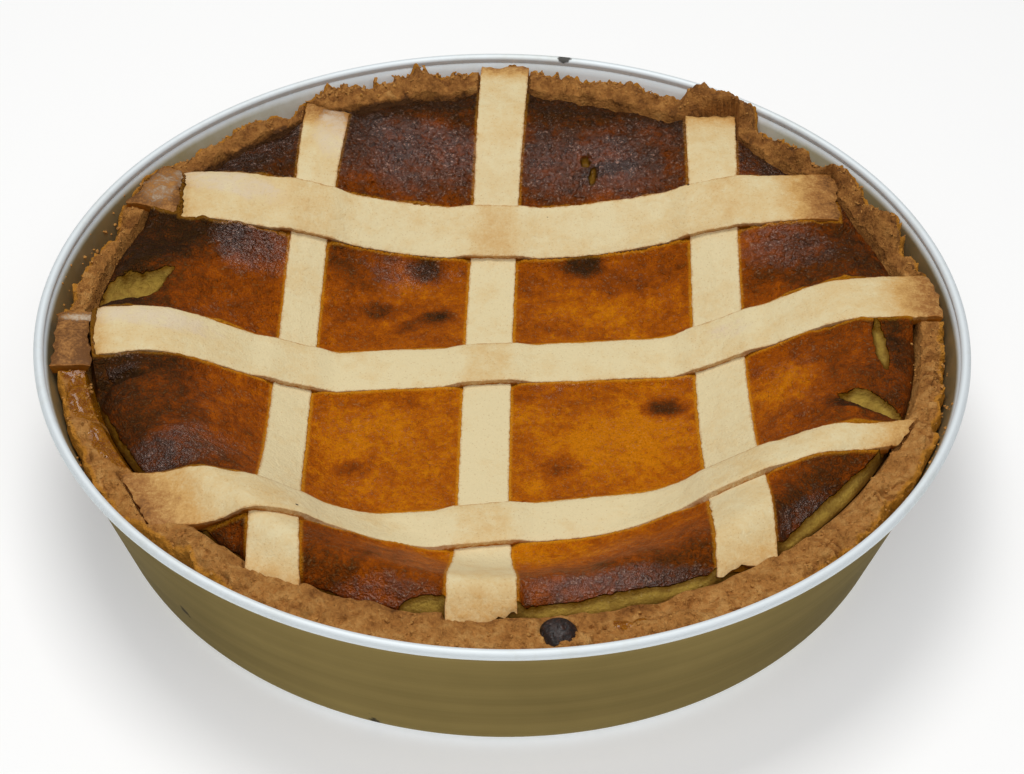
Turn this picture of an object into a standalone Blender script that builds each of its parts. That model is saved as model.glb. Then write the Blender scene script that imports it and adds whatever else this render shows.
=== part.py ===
"""A pastiera: a whole ricotta and wheat pie, baked in its own tapered aluminium tin.

The filling stands in a ring-shaped swell near the crust and sinks to a level middle.
Three bands of pastry run from front to back and lie sunk in the filling. Three more run
from left to right over them. The left ends of two bands have cracked off and rest on
the crust, and one burnt fruit sits in the crust at the front.

Metres, +Z up, +Y away from the viewer, origin under the middle of the tin.
"""
import math
from dataclasses import dataclass

import bpy
import bmesh
from mathutils import Vector, noise

# ---- tin ----
RIM_RADIUS = 0.140          # outside of the rolled bead
TIN_HEIGHT = 0.057
BASE_RADIUS = 0.1210        # where the line of the outer wall meets the ground
WALL_TOP_RADIUS = 0.1380    # the same line at the height of the bead's middle
BEAD_RADIUS = 0.0015
BEAD_ARC = (225, -90, 7)    # first and last angle in degrees, and the steps between
WALL = 0.0010
FOOT_RADIUS = 0.008         # rounding between base and wall
TIN_STEPS = 72

# ---- pie ----
GAP = 0.0003                # left between neighbours
WALL_GAP = 0.0005           # left between coarse round walls
PIE_STEPS = 104
SHARP_ANGLE = 50            # degrees, edges sharper than this aren't shaded smooth
NOISE_GAIN = 1.6            # brings smooth noise to about -1 to 1
CRUST_FLOOR = 0.0060        # top of the pastry under the filling
FLOOR_RADIUS = 0.104        # filling at the floor

# the filling's upper surface, without the drop at its edge
MIDDLE_HEIGHT = 0.0310
CREST_HEIGHT = 0.0530
CREST_RADIUS = 0.112
RISE_START = 0.049          # radius where the swell starts to rise, at the sides
RISE_START_BACK = -0.012    # what the back adds to it
RISE_START_FRONT = 0.026    # what the front adds to it
START_BLEND = 0.040         # radius from which back and front differ in full
BACK_TILT = 0.002           # the back stands this much higher than the sides
TILT_BLEND = 0.060          # radius from which the middle tilts in full
FRONT_FALL = 0.008          # how far the front rolls down outside its crest
FRONT_FALL_START = 0.104
FRONT_FALL_END = 0.120

# the filling's edge, where it meets the crust
EDGE_RADIUS = 0.119
EDGE_WIDER_AT_SIDES = 0.006
EDGE_NARROWER_IN_FRONT = 0.006
EDGE_HEIGHT = 0.0465
EDGE_TILT = 0.005
SHOULDER = 0.014            # width of the rounded drop at the edge
RISE_STEPS = (0.40, 0.56, 0.68, 0.79, 0.90)   # rings, as shares of the shoulder's inner radius
SHOULDER_STEPS = (0.0, 0.35, 0.65, 0.88)      # rings over the shoulder's width
FRONT_SINE = -0.6           # in front of this sine of the angle, bands don't fill the shoulder
WRINKLE = 0.0009
WRINKLE_SIZE = 0.011
WRINKLE_START = 0.050       # radius where the wrinkles start
WRINKLE_BLEND = 0.050       # width over which they grow

# ---- crust ----
CRUST_HEIGHT = 0.0505
CRUST_TILT = 0.0038
CRUST_CROWN = 0.0014
GROOVE = 0.0012             # gap that opens between filling and crust, at back and sides
FRONT_GROOVE = 0.0022       # what the front adds to it
CRUST_OUTER = 0.1325
CRUST_SHRINK_BACK = 0.0025  # the back has shrunk from the tin by this much more
CRUST_TOUCH = 0.036         # height up to which the crust touches the tin
RIM_CLEARANCE = 0.0011      # least distance from the bead
CRUST_STEPS = (0.0, 0.22, 0.45, 0.72, 1.0)     # rings over the crust's top
CRUST_EDGE = 0.0035         # height of the rounded outer edge
CRUST_EDGE_ROUND = 0.0006
FLAP_RISE = 0.6             # share of the crust's width over which a flap lifts
CRAG = 0.0013
CRAG_SIZE = 0.006

# ---- bands ----
BAND_THICKNESS = 0.0034
BAND_SEGMENTS = 25
SUNK_LIFT = 0.0008          # top of the sunken bands over the filling
LAID_LIFT = 0.0018          # top of the bands that lie over them
CROSSING_LIFT = 0.0014      # what a crossing adds
CROSSING_BLEND = 0.008
EDGE_DROOP = 0.0005         # how far a band's cut edges lie below its middle
TAPER = 0.28                # share of the length over which the width changes
TORN = 0.0011               # unevenness of a torn end
TORN_SIZE = 0.009
SEAT_BLEND = 0.007          # distance over which the pie rises to a band
ROOM_HEIGHT = 0.007         # a band's cutter reaches this far over it
SIDE_GAP = 0.0004           # left beside a band, whose sides twist

# ---- burnt fruit ----
FRUIT_RADIUS = 0.0054
FRUIT_PLACE = (0.0165, -0.1230, 0.0463)
FRUIT_SQUASH = 0.84


@dataclass(frozen=True)
class Band:
    """A strip of pastry between two points of the plan.

    widths are at the start, in the middle and at the end. bow moves the middle sideways,
    and slant turns the cut at each end. laid is True for a band that crosses over others.
    """

    name: str
    start: tuple
    end: tuple
    widths: tuple
    bow: float = 0.0
    slants: tuple = (0.0, 0.0)
    laid: bool = True
    segments: int = BAND_SEGMENTS


SUNKEN_BANDS = (
    Band("band_left", (-0.0613, -0.103), (-0.0603, 0.1070), (0.0152, 0.0112, 0.0146),
         bow=0.0028, slants=(0.005, 0.0060), laid=False),
    Band("band_centre", (-0.0040, -0.1165), (-0.0013, 0.1340), (0.0192, 0.0146, 0.0162),
         bow=0.0018, slants=(-0.003, 0.0), laid=False),
    Band("band_right", (0.0687, -0.0955), (0.0677, 0.1070), (0.0172, 0.0147, 0.0166),
         bow=0.0015, slants=(-0.008, -0.0012), laid=False),
)
LAID_BANDS = (
    Band("band_back", (-0.1034, 0.0576), (0.1060, 0.0627), (0.0235, 0.0180, 0.0235)),
    Band("band_middle", (-0.1222, -0.0092), (0.1325, 0.0142), (0.0208, 0.0174, 0.0196),
         bow=0.0014),
    Band("band_front", (-0.1018, -0.0768), (0.1175, -0.0450), (0.0205, 0.0158, 0.0095),
         bow=-0.0030, slants=(-0.0080, 0.0083)),
)
BROKEN_ENDS = (
    Band("band_back_end", (-0.1163, 0.0629), (-0.1045, 0.0588), (0.0215, 0.0205, 0.0212),
         slants=(0.0022, -0.0083), segments=4),
    Band("band_middle_end", (-0.1336, -0.0135), (-0.1232, -0.0125), (0.0225, 0.0236, 0.0236),
         segments=4),
)


@dataclass(frozen=True)
class Flap:
    """A torn or raised stretch of the crust's top, at an angle in degrees."""

    angle: float
    half_width: float
    lift: float
    reach: float


FLAPS = (
    Flap(9, 8, 0.0030, 0.0020),
    Flap(22, 6, 0.0050, 0.0020),
    Flap(33, 6, 0.0056, 0.0010),
    Flap(42, 5, 0.0040, -0.0010),
    Flap(56, 6.5, 0.0070, 0.0045),
    Flap(73, 5, 0.0020, 0.0010),
    Flap(90, 6, 0.0010, 0.0050),
    Flap(104, 4, 0.0022, 0.0030),
    Flap(117, 6, 0.0015, 0.0030),
    Flap(125, 5, -0.0015, -0.0035),
    Flap(150, 8, 0.0020, 0.0030),
    Flap(163, 6, -0.0015, -0.0020),
    Flap(212, 12, 0.0000, 0.0012),
    Flap(229, 10, 0.0030, -0.0020),
    Flap(243, 7, -0.0015, -0.0010),
    Flap(300, 12, -0.0012, 0.0005),
    Flap(338, 10, 0.0010, 0.0012),
)


@dataclass(frozen=True)
class Dent:
    """A hollow where the filling's skin has folded in or torn, angles in degrees."""

    angle: float
    radius: float
    half_turn: float
    half_width: float
    depth: float


DENTS = (
    Dent(173, 0.113, 8, 0.010, 0.0030),
    Dent(196, 0.119, 7, 0.009, 0.0040),
    Dent(344, 0.112, 5, 0.010, 0.0022),
    Dent(357, 0.1135, 7, 0.006, 0.0014),
)


def ease(t):
    """Return a smooth step from 0 to 1."""
    t = min(max(t, 0.0), 1.0)
    return t * t * (3.0 - 2.0 * t)


def window(angle, centre, half_width):
    """Return 1 at centre, falling smoothly to 0 at half_width either side, in degrees."""
    away = abs((angle - centre + 180.0) % 360.0 - 180.0)
    return ease(1.0 - away / half_width)


def grain(x, y, z, size):
    """Return smooth noise, about -1 to 1, with lumps of the given size."""
    return NOISE_GAIN * noise.noise(Vector((x, y, z)) / size)


def wall_radius(height):
    """Return the radius of the tin's outer wall at a height."""
    slope = (WALL_TOP_RADIUS - BASE_RADIUS) / (TIN_HEIGHT - BEAD_RADIUS)
    return BASE_RADIUS + slope * height


def swell(x, y):
    """Return the height of the filling, with no drop at its edge."""
    radius = math.hypot(x, y)
    side = y / max(radius, 1e-6)
    start = RISE_START + ease(radius / START_BLEND) * (
        RISE_START_BACK * max(side, 0.0) + RISE_START_FRONT * min(side, 0.0) ** 2)
    middle = MIDDLE_HEIGHT + BACK_TILT * side * ease(radius / TILT_BLEND)
    crest = CREST_HEIGHT + BACK_TILT * side
    fall = FRONT_FALL * max(-side, 0.0) ** 1.5
    outside = ease((radius - FRONT_FALL_START) / (FRONT_FALL_END - FRONT_FALL_START))
    rise = ease((radius - start) / (CREST_RADIUS - start))
    return middle + (crest - middle) * rise - fall * outside


def dented(angle, radius):
    """Return how deep the filling's hollows are at an angle and radius."""
    degrees = math.degrees(angle)
    return sum(dent.depth * window(degrees, dent.angle, dent.half_turn)
               * ease(1.0 - abs(radius - dent.radius) / dent.half_width) for dent in DENTS)


def band_point(band, along, across):
    """Return the plan point of a band, along 0 to 1 and across -1 to 1."""
    start, end = Vector(band.start), Vector(band.end)
    run = (end - start).normalized()
    left = Vector((-run.y, run.x))
    width = band.widths[1]
    width += (band.widths[0] - width) * ease(1.0 - along / TAPER)
    width += (band.widths[2] - band.widths[1]) * ease(1.0 - (1.0 - along) / TAPER)
    slant = band.slants[0] * (1.0 - along) + band.slants[1] * along
    bow = band.bow * 4.0 * along * (1.0 - along)
    return start.lerp(end, along) + left * (bow + 0.5 * across * width) + run * (
        0.5 * across * slant)


def distance_to(band, x, y):
    """Return how far a plan point lies outside a band's long edges and ends, or 0."""
    start, end = Vector(band.start), Vector(band.end)
    run = end - start
    along = (Vector((x, y)) - start).dot(run) / run.length_squared
    inside = min(max(along, 0.0), 1.0)
    middle = band_point(band, inside, 0.0)
    half = (band_point(band, inside, 1.0) - band_point(band, inside, -1.0)).length / 2
    beyond = abs(along - inside) * run.length
    sideways = abs((Vector((x, y)) - middle).dot(Vector((-run.y, run.x)).normalized()))
    return math.hypot(max(sideways - half, 0.0), beyond)


def band_top(band, x, y):
    """Return the height of a band's top over a plan point."""
    if not band.laid:
        return swell(x, y) + SUNK_LIFT
    nearest = min(distance_to(other, x, y) for other in SUNKEN_BANDS)
    return swell(x, y) + LAID_LIFT + CROSSING_LIFT * ease(1.0 - nearest / CROSSING_BLEND)


def seat(x, y):
    """Return 1 under a band that lies over the edge of the pie, 0 well away from one."""
    bands = LAID_BANDS + BROKEN_ENDS + SUNKEN_BANDS
    return max(ease(1.0 - distance_to(band, x, y) / SEAT_BLEND) for band in bands)


def edge_radius(angle):
    """Return the radius of the filling's edge."""
    return (EDGE_RADIUS + EDGE_WIDER_AT_SIDES * math.cos(angle) ** 2
            - EDGE_NARROWER_IN_FRONT * max(-math.sin(angle), 0.0))


def edge_height(angle):
    """Return the height of the filling's edge."""
    return EDGE_HEIGHT + EDGE_TILT * math.sin(angle)


def filling_section(angle):
    """Return the filling's section at an angle, from the axis on top to the axis below."""
    cosine, sine = math.cos(angle), math.sin(angle)
    edge, foot = edge_radius(angle), edge_height(angle)
    inner = edge - SHOULDER
    radii = [inner * share for share in RISE_STEPS]
    radii += [inner + SHOULDER * step for step in SHOULDER_STEPS]
    section = [(0.0, swell(0.0, 0.0))]
    for radius in radii:
        x, y = radius * cosine, radius * sine
        drop = 1.0 - math.sqrt(1.0 - max(0.0, (radius - inner) / SHOULDER) ** 2)
        if sine > FRONT_SINE:
            drop *= 1.0 - seat(x, y)
        top = swell(x, y)
        crumple = WRINKLE * grain(x, y, top, WRINKLE_SIZE)
        crumple *= ease((radius - WRINKLE_START) / WRINKLE_BLEND)
        height = top + (foot - top) * drop + crumple
        section.append((radius, height - dented(angle, radius)))
    section.append((edge, foot))
    section.append((FLOOR_RADIUS, CRUST_FLOOR + GAP))
    section.append((0.0, CRUST_FLOOR + GAP))
    return section


def inside_tin(radius, height):
    """Return a radius, kept clear of the tin's wall and bead at a height."""
    bead = RIM_RADIUS - 2.0 * BEAD_RADIUS - RIM_CLEARANCE
    return min(radius, bead, wall_radius(height) - WALL - WALL_GAP)


def crust_outer(angle):
    """Return the radius of the crust's upper outer edge, before the tin limits it."""
    degrees = math.degrees(angle)
    radius = CRUST_OUTER - CRUST_SHRINK_BACK * max(math.sin(angle), 0.0)
    radius += sum(flap.reach * window(degrees, flap.angle, flap.half_width) for flap in FLAPS)
    crag_size = CRAG_SIZE / CRUST_OUTER
    return radius + CRAG * grain(math.cos(angle), math.sin(angle), 1.0, crag_size)


def crust_top(angle, radius, across):
    """Return the height of the crust's top, across 0 at its inner lip to 1 outside."""
    degrees = math.degrees(angle)
    x, y = radius * math.cos(angle), radius * math.sin(angle)
    height = CRUST_HEIGHT + CRUST_TILT * math.sin(angle)
    height += CRUST_CROWN * math.sin(math.pi * across)
    lift = sum(flap.lift * window(degrees, flap.angle, flap.half_width) for flap in FLAPS)
    height += lift * ease(across / FLAP_RISE)
    height += CRAG * grain(x, y, height, CRAG_SIZE)
    band_height = swell(x, y) + LAID_LIFT - 0.5 * BAND_THICKNESS
    return height + max(band_height - height, 0.0) * seat(x, y)


def crust_section(angle):
    """Return the crust's section at an angle, from the floor inside to the base below."""
    groove = GROOVE + FRONT_GROOVE * max(-math.sin(angle), 0.0)
    contact = edge_radius(angle) + WALL_GAP
    lip, outer = contact + groove, crust_outer(angle)
    section = [(0.0, CRUST_FLOOR), (FLOOR_RADIUS + WALL_GAP, CRUST_FLOOR)]
    section.append((contact, edge_height(angle)))
    for across in CRUST_STEPS:
        radius = lip + (outer - lip) * across
        height = crust_top(angle, radius, across)
        section.append((inside_tin(radius, height), height))
    below = height - CRUST_EDGE
    section.append((inside_tin(outer + CRUST_EDGE_ROUND, below), below))
    section.append((inside_tin(RIM_RADIUS, CRUST_TOUCH), CRUST_TOUCH))
    section.append((inside_tin(RIM_RADIUS, FOOT_RADIUS), FOOT_RADIUS))
    section.append((wall_radius(0.0) - FOOT_RADIUS, WALL + WALL_GAP))
    section.append((0.0, WALL + WALL_GAP))
    return section


def material(name, color, roughness, metallic=0.0):
    """Return a plain Principled material."""
    finish = bpy.data.materials.new(name)
    finish.use_nodes = True
    shader = finish.node_tree.nodes["Principled BSDF"]
    shader.inputs["Base Color"].default_value = (*color, 1.0)
    shader.inputs["Roughness"].default_value = roughness
    shader.inputs["Metallic"].default_value = metallic
    return finish


def place(obj, collection, finish=None):
    """Move an object into a collection, give it its material and shade it smooth."""
    for owner in list(obj.users_collection):
        owner.objects.unlink(obj)
    collection.objects.link(obj)
    if finish:
        obj.data.materials.append(finish)
    obj.data.shade_smooth()
    obj.data.set_sharp_from_angle(angle=math.radians(SHARP_ANGLE))
    return obj


def turned(name, profile, steps):
    """Return an object whose profile of (radius, height) points is turned round Z."""
    mesh = bpy.data.meshes.new(name)
    points = [(radius, 0.0, height) for radius, height in profile]
    mesh.from_pydata(points, [(i, i + 1) for i in range(len(points) - 1)], [])
    obj = bpy.data.objects.new(name, mesh)
    screw = obj.modifiers.new("Turn", "SCREW")
    screw.steps = screw.render_steps = steps
    screw.use_merge_vertices = True
    screw.merge_threshold = 1e-5
    bpy.context.scene.collection.objects.link(obj)
    return obj


def lofted(name, section, steps):
    """Return a closed body through unlike sections at even angles round the Z axis."""
    shape = bmesh.new()
    sections = [section(2.0 * math.pi * k / steps) for k in range(steps)]
    top = shape.verts.new((0.0, 0.0, sections[0][0][1]))
    bottom = shape.verts.new((0.0, 0.0, sections[0][-1][1]))
    rows = []
    for k, points in enumerate(sections):
        angle = 2.0 * math.pi * k / steps
        rows.append([shape.verts.new((r * math.cos(angle), r * math.sin(angle), z))
                     for r, z in points[1:-1]])
    for row, following in zip(rows, rows[1:] + rows[:1]):
        shape.faces.new((top, row[0], following[0]))
        for i in range(len(row) - 1):
            shape.faces.new((row[i], row[i + 1], following[i + 1]))
            shape.faces.new((row[i], following[i + 1], following[i]))
        shape.faces.new((row[-1], bottom, following[-1]))
    mesh = bpy.data.meshes.new(name)
    shape.to_mesh(mesh)
    shape.free()
    obj = bpy.data.objects.new(name, mesh)
    bpy.context.scene.collection.objects.link(obj)
    return obj


def arc(centre_radius, centre_height, radius, first, last, count):
    """Return points of an arc in the section plane, angles in degrees from +X."""
    points = []
    for i in range(count + 1):
        turn = math.radians(first + (last - first) * i / count)
        points.append((centre_radius + radius * math.cos(turn),
                       centre_height + radius * math.sin(turn)))
    return points


def make_tin():
    """Return the tin: flat base, tapered wall and a bead rolled outward at the rim."""
    slope = math.degrees(math.atan2(WALL_TOP_RADIUS - BASE_RADIUS, TIN_HEIGHT - BEAD_RADIUS))
    bead = (RIM_RADIUS - BEAD_RADIUS, TIN_HEIGHT - BEAD_RADIUS)
    foot_radius = BASE_RADIUS - FOOT_RADIUS * math.tan(math.radians(45 - slope / 2))
    foot = (foot_radius, FOOT_RADIUS)
    inside_foot = arc(*foot, FOOT_RADIUS - WALL, -90, -slope, 2)
    rim = arc(*bead, BEAD_RADIUS, *BEAD_ARC)
    rim.append((wall_radius(rim[-1][1]), rim[-1][1] - WALL / 4))
    outside_foot = arc(*foot, FOOT_RADIUS, -slope, -90, 3)
    profile = [(0.0, WALL)] + inside_foot + rim
    profile += outside_foot + [(0.0, 0.0)]
    return turned("tin", profile, TIN_STEPS)


def band_sheet(name, band, widen=0.0):
    """Return the top surface of a band as a grid, widened all round for a cutter."""
    bpy.ops.mesh.primitive_grid_add(x_subdivisions=band.segments, y_subdivisions=2, size=2.0)
    obj = bpy.context.object
    obj.name = obj.data.name = name
    run = (Vector(band.end) - Vector(band.start)).normalized()
    left = Vector((-run.y, run.x))
    for vertex in obj.data.vertices:
        along, across = 0.5 + 0.5 * vertex.co.x, vertex.co.y
        point = band_point(band, along, across)
        if abs(vertex.co.x) > 1.0 - 1.0 / band.segments:
            tear = TORN * grain(point.x, point.y, 0.0, TORN_SIZE)
            point += run * (tear + math.copysign(widen, vertex.co.x))
        point += left * widen * across
        height = band_top(band, point.x, point.y) - EDGE_DROOP * abs(across)
        vertex.co = (point.x, point.y, height)
    return obj


def thicken(obj, below, above):
    """Give a sheet its thickness, measured below and above the sheet."""
    solid = obj.modifiers.new("Thickness", "SOLIDIFY")
    solid.thickness = below + above
    solid.offset = (above - below) / (above + below)
    solid.use_even_offset = True
    obj.modifiers.new("Triangles", "TRIANGULATE")
    return obj


def make_band(band):
    """Return a band of pastry."""
    return thicken(band_sheet(band.name, band), BAND_THICKNESS, 0.0)


def make_band_cutter(band, collection):
    """Return the room that a band takes in what lies under it."""
    obj = band_sheet(band.name + "_room", band, widen=SIDE_GAP)
    thicken(obj, BAND_THICKNESS + GAP, ROOM_HEIGHT)
    return hide(place(obj, collection))


def hide(cutter):
    """Mark an object as a cutter."""
    cutter.hide_render = True
    cutter.display_type = "WIRE"
    return cutter


def make_fruit(name, radius):
    """Return the burnt fruit, a slightly flattened ball."""
    bpy.ops.mesh.primitive_uv_sphere_add(segments=12, ring_count=8, radius=radius)
    obj = bpy.context.object
    obj.name = obj.data.name = name
    for vertex in obj.data.vertices:
        vertex.co.z *= FRUIT_SQUASH
        vertex.co += Vector(FRUIT_PLACE)
    return obj


def cut(obj, cutter):
    """Take a cutter's shape out of an object."""
    boolean = obj.modifiers.new(cutter.name, "BOOLEAN")
    boolean.operation = "DIFFERENCE"
    boolean.solver = "EXACT"
    boolean.object = cutter


def clear_scene():
    """Remove every object."""
    for obj in list(bpy.data.objects):
        bpy.data.objects.remove(obj, do_unlink=True)


def collection_named(name):
    """Return a new collection linked to the scene."""
    collection = bpy.data.collections.new(name)
    bpy.context.scene.collection.children.link(collection)
    return collection


def build():
    """Model the pastiera."""
    clear_scene()
    parts, cutters = collection_named("Pastiera"), collection_named("Cutters")
    pastry = material("band_pastry", (0.69, 0.54, 0.30), 0.75)
    toasted = material("toasted_pastry", (0.42, 0.24, 0.10), 0.8)
    place(make_tin(), parts, material("aluminium", (0.55, 0.53, 0.47), 0.35, 1.0))
    crust = place(lofted("crust", crust_section, PIE_STEPS), parts,
                  material("crust_pastry", (0.38, 0.20, 0.07), 0.85))
    filling = place(lofted("filling", filling_section, PIE_STEPS), parts,
                    material("baked_ricotta", (0.33, 0.11, 0.02), 0.35))
    place(make_fruit("burnt_fruit", FRUIT_RADIUS), parts,
          material("burnt", (0.02, 0.012, 0.01), 0.4))
    rooms = {band.name: make_band_cutter(band, cutters)
             for band in SUNKEN_BANDS + LAID_BANDS + BROKEN_ENDS}
    for band in SUNKEN_BANDS:
        strip = place(make_band(band), parts, pastry)
        for over in LAID_BANDS:
            cut(strip, rooms[over.name])
    for band in LAID_BANDS:
        place(make_band(band), parts, pastry)
    for band in BROKEN_ENDS:
        place(make_band(band), parts, toasted)
    for room in rooms.values():
        cut(filling, room)
        cut(crust, room)
    cut(crust, hide(place(make_fruit("fruit_room", FRUIT_RADIUS + GAP), cutters)))


build()
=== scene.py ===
"""A pastiera in its own tin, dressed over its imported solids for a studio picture.

The tin, the pastry case, the baked filling, six crossing bands, two broken band ends and a
burnt fruit each get a fine mesh in the place of their solid. Syrup, flakes and crumbs are added.

Metres, +Z up, +Y away from the viewer, origin under the middle of the tin.
"""

import logging
import math
import random
from dataclasses import dataclass
from enum import Enum

import bpy
import numpy as np
from mathutils import Matrix, Vector, noise
from mathutils.bvhtree import BVHTree


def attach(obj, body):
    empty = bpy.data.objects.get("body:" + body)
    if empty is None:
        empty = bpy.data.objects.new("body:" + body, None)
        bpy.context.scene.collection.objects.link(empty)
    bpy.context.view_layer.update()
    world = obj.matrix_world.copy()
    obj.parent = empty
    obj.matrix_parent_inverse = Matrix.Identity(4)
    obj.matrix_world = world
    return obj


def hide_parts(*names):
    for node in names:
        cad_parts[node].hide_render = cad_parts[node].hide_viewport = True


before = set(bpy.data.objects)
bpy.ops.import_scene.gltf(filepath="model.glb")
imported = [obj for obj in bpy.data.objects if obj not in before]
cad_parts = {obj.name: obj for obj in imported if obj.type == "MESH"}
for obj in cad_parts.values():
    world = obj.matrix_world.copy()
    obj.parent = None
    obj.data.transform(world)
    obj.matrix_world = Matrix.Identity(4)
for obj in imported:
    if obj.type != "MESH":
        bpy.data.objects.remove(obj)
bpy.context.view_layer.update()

Array = np.ndarray
Piece = bpy.types.Object
Material = bpy.types.Material
Socket = bpy.types.NodeSocket
Pair = tuple[float, float]
Triple = tuple[float, float, float]
Span = Pair  # where a change starts, and how far it runs

LOG = logging.getLogger("pastiera")
ROOT = "root"
MILLIMETRE = 0.001
MERGE = 1e-6  # seams and poles closer than this are welded
TINY = 1e-6  # keeps a division by a radius away from 0
NOISE_GAIN = 1.6  # brings smooth noise to about -1 to 1
ROUGH_NOISE = (0.7, 2.1, 4)  # how fast finer sizes fade, the step to the next, how many
LINE_WIDTH = 0.22  # how far beside a line of creased noise it fades out


# ---- plain maths

def ease(share: Array | float) -> Array:
    """Return the share held between 0 and 1 and smoothed at both ends."""
    held = np.clip(share, 0.0, 1.0)
    return held * held * (3.0 - 2.0 * held)


def climb(values: Array, start: float | Array, run: float | Array) -> Array:
    """Return 0 up to the start and 1 from a run beyond it, with a smooth step between."""
    return ease((values - start) / run)


def fade(values: Array, run: float) -> Array:
    """Return 1 up to 0 and 0 from a run beyond it, with a smooth step between."""
    return ease(1.0 - values / run)


def window(degrees: Array, centre: float | Array, half_width: float, steep: float = 1.0) -> Array:
    """Return 1 at a centre, falling smoothly to 0 at a half width. More steep is full sooner."""
    away = np.abs((degrees - centre + 180.0) % 360.0 - 180.0)
    return ease((1.0 - away / half_width) * steep)


class Plan:
    """Places in plan, by x and y and by their distance and direction from the axis."""

    def __init__(self, x: Array, y: Array) -> None:
        """Work out the distance and direction of places.

        Args:
            x: Their x, to the right.
            y: Their y, to the back.
        """
        self.x, self.y = x, y
        self.radius, self.angle = np.hypot(x, y), np.arctan2(y, x)
        self.degrees = np.degrees(self.angle)
        safe = np.maximum(self.radius, TINY)
        self.right, self.back = x / safe, y / safe

    @classmethod
    def polar(cls, radius: Array, angle: Array) -> "Plan":
        """Return places by their distance from the axis and their angle in radians."""
        return cls(radius * np.cos(angle), radius * np.sin(angle))


class Grain(Enum):
    """Kinds of unevenness."""

    SMOOTH = "smooth"
    ROUGH = "rough"
    CREASED = "creased"


def grain(x: Array, y: Array, z: Array, size: float, kind: Grain = Grain.SMOOTH) -> Array:
    """Noise at each point.

    Args:
        x: First coordinates.
        y: Second coordinates.
        z: Third coordinates.
        size: Size of a lump, in the unit of the coordinates.
        kind: Smooth lumps, rough lumps of several sizes, or lines that wander.

    Returns:
        About -1 to 1 for lumps, and 0 to 1 for lines, 1 on the line.
    """
    x, y, z = np.broadcast_arrays(x, y, z)
    points = (np.stack([x.ravel(), y.ravel(), z.ravel()], axis=1) / size).tolist()
    if kind is Grain.ROUGH:
        values = [noise.fractal(Vector(p), *ROUGH_NOISE) for p in points]
        return np.array(values).reshape(x.shape)
    values = np.array([noise.noise(Vector(p)) for p in points]).reshape(x.shape) * NOISE_GAIN
    if kind is Grain.CREASED:
        return fade(np.abs(values), LINE_WIDTH)
    return values


@dataclass(frozen=True)
class Relief:
    """Unevenness: its depth, the size of its lumps and the layer of the noise that it reads."""

    depth: float
    size: float
    layer: float = 0.0
    kind: Grain = Grain.SMOOTH

    def at(self, plan: Plan, z: Array | None = None) -> Array:
        """Return the unevenness at some places, in plan where no z is given."""
        layer = self.layer if z is None else z
        return self.depth * grain(plan.x, plan.y, layer, self.size, self.kind)


@dataclass(frozen=True)
class Spot:
    """A round or long patch in plan, turned by some degrees. depth is how much it adds there."""

    x: float
    y: float
    long: float
    wide: float
    turn: float = 0.0
    depth: float = 0.0

    def reach(self, plan: Plan) -> Array:
        """Find how far inside the patch places lie.

        Args:
            plan: The places.

        Returns:
            1 at the middle, 0 on the rim and less outside.
        """
        cosine, sine = math.cos(math.radians(self.turn)), math.sin(math.radians(self.turn))
        x, y = plan.x - self.x, plan.y - self.y
        ahead, aside = (x * cosine + y * sine) / self.long, (y * cosine - x * sine) / self.wide
        return 1.0 - np.hypot(ahead, aside)


def spots(*rows: tuple[float, ...]) -> tuple[Spot, ...]:
    """Return spots by x, y, half length, half width, all in millimetres, turn and depth."""
    return tuple(Spot(*(value * MILLIMETRE for value in row[:4]), *row[4:]) for row in rows)


def patches(found: tuple[Spot, ...], plan: Plan, steep: float = 1.0) -> Array:
    """Return what each spot adds, one row a spot: its depth at the middle, 0 from the rim out."""
    return np.array([spot.depth * ease(spot.reach(plan) * steep) for spot in found])


# ---- the pie's form

@dataclass(frozen=True)
class End:
    """How browned a band's end is, and how far in that reaches."""

    toast: float
    reach: float


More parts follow.
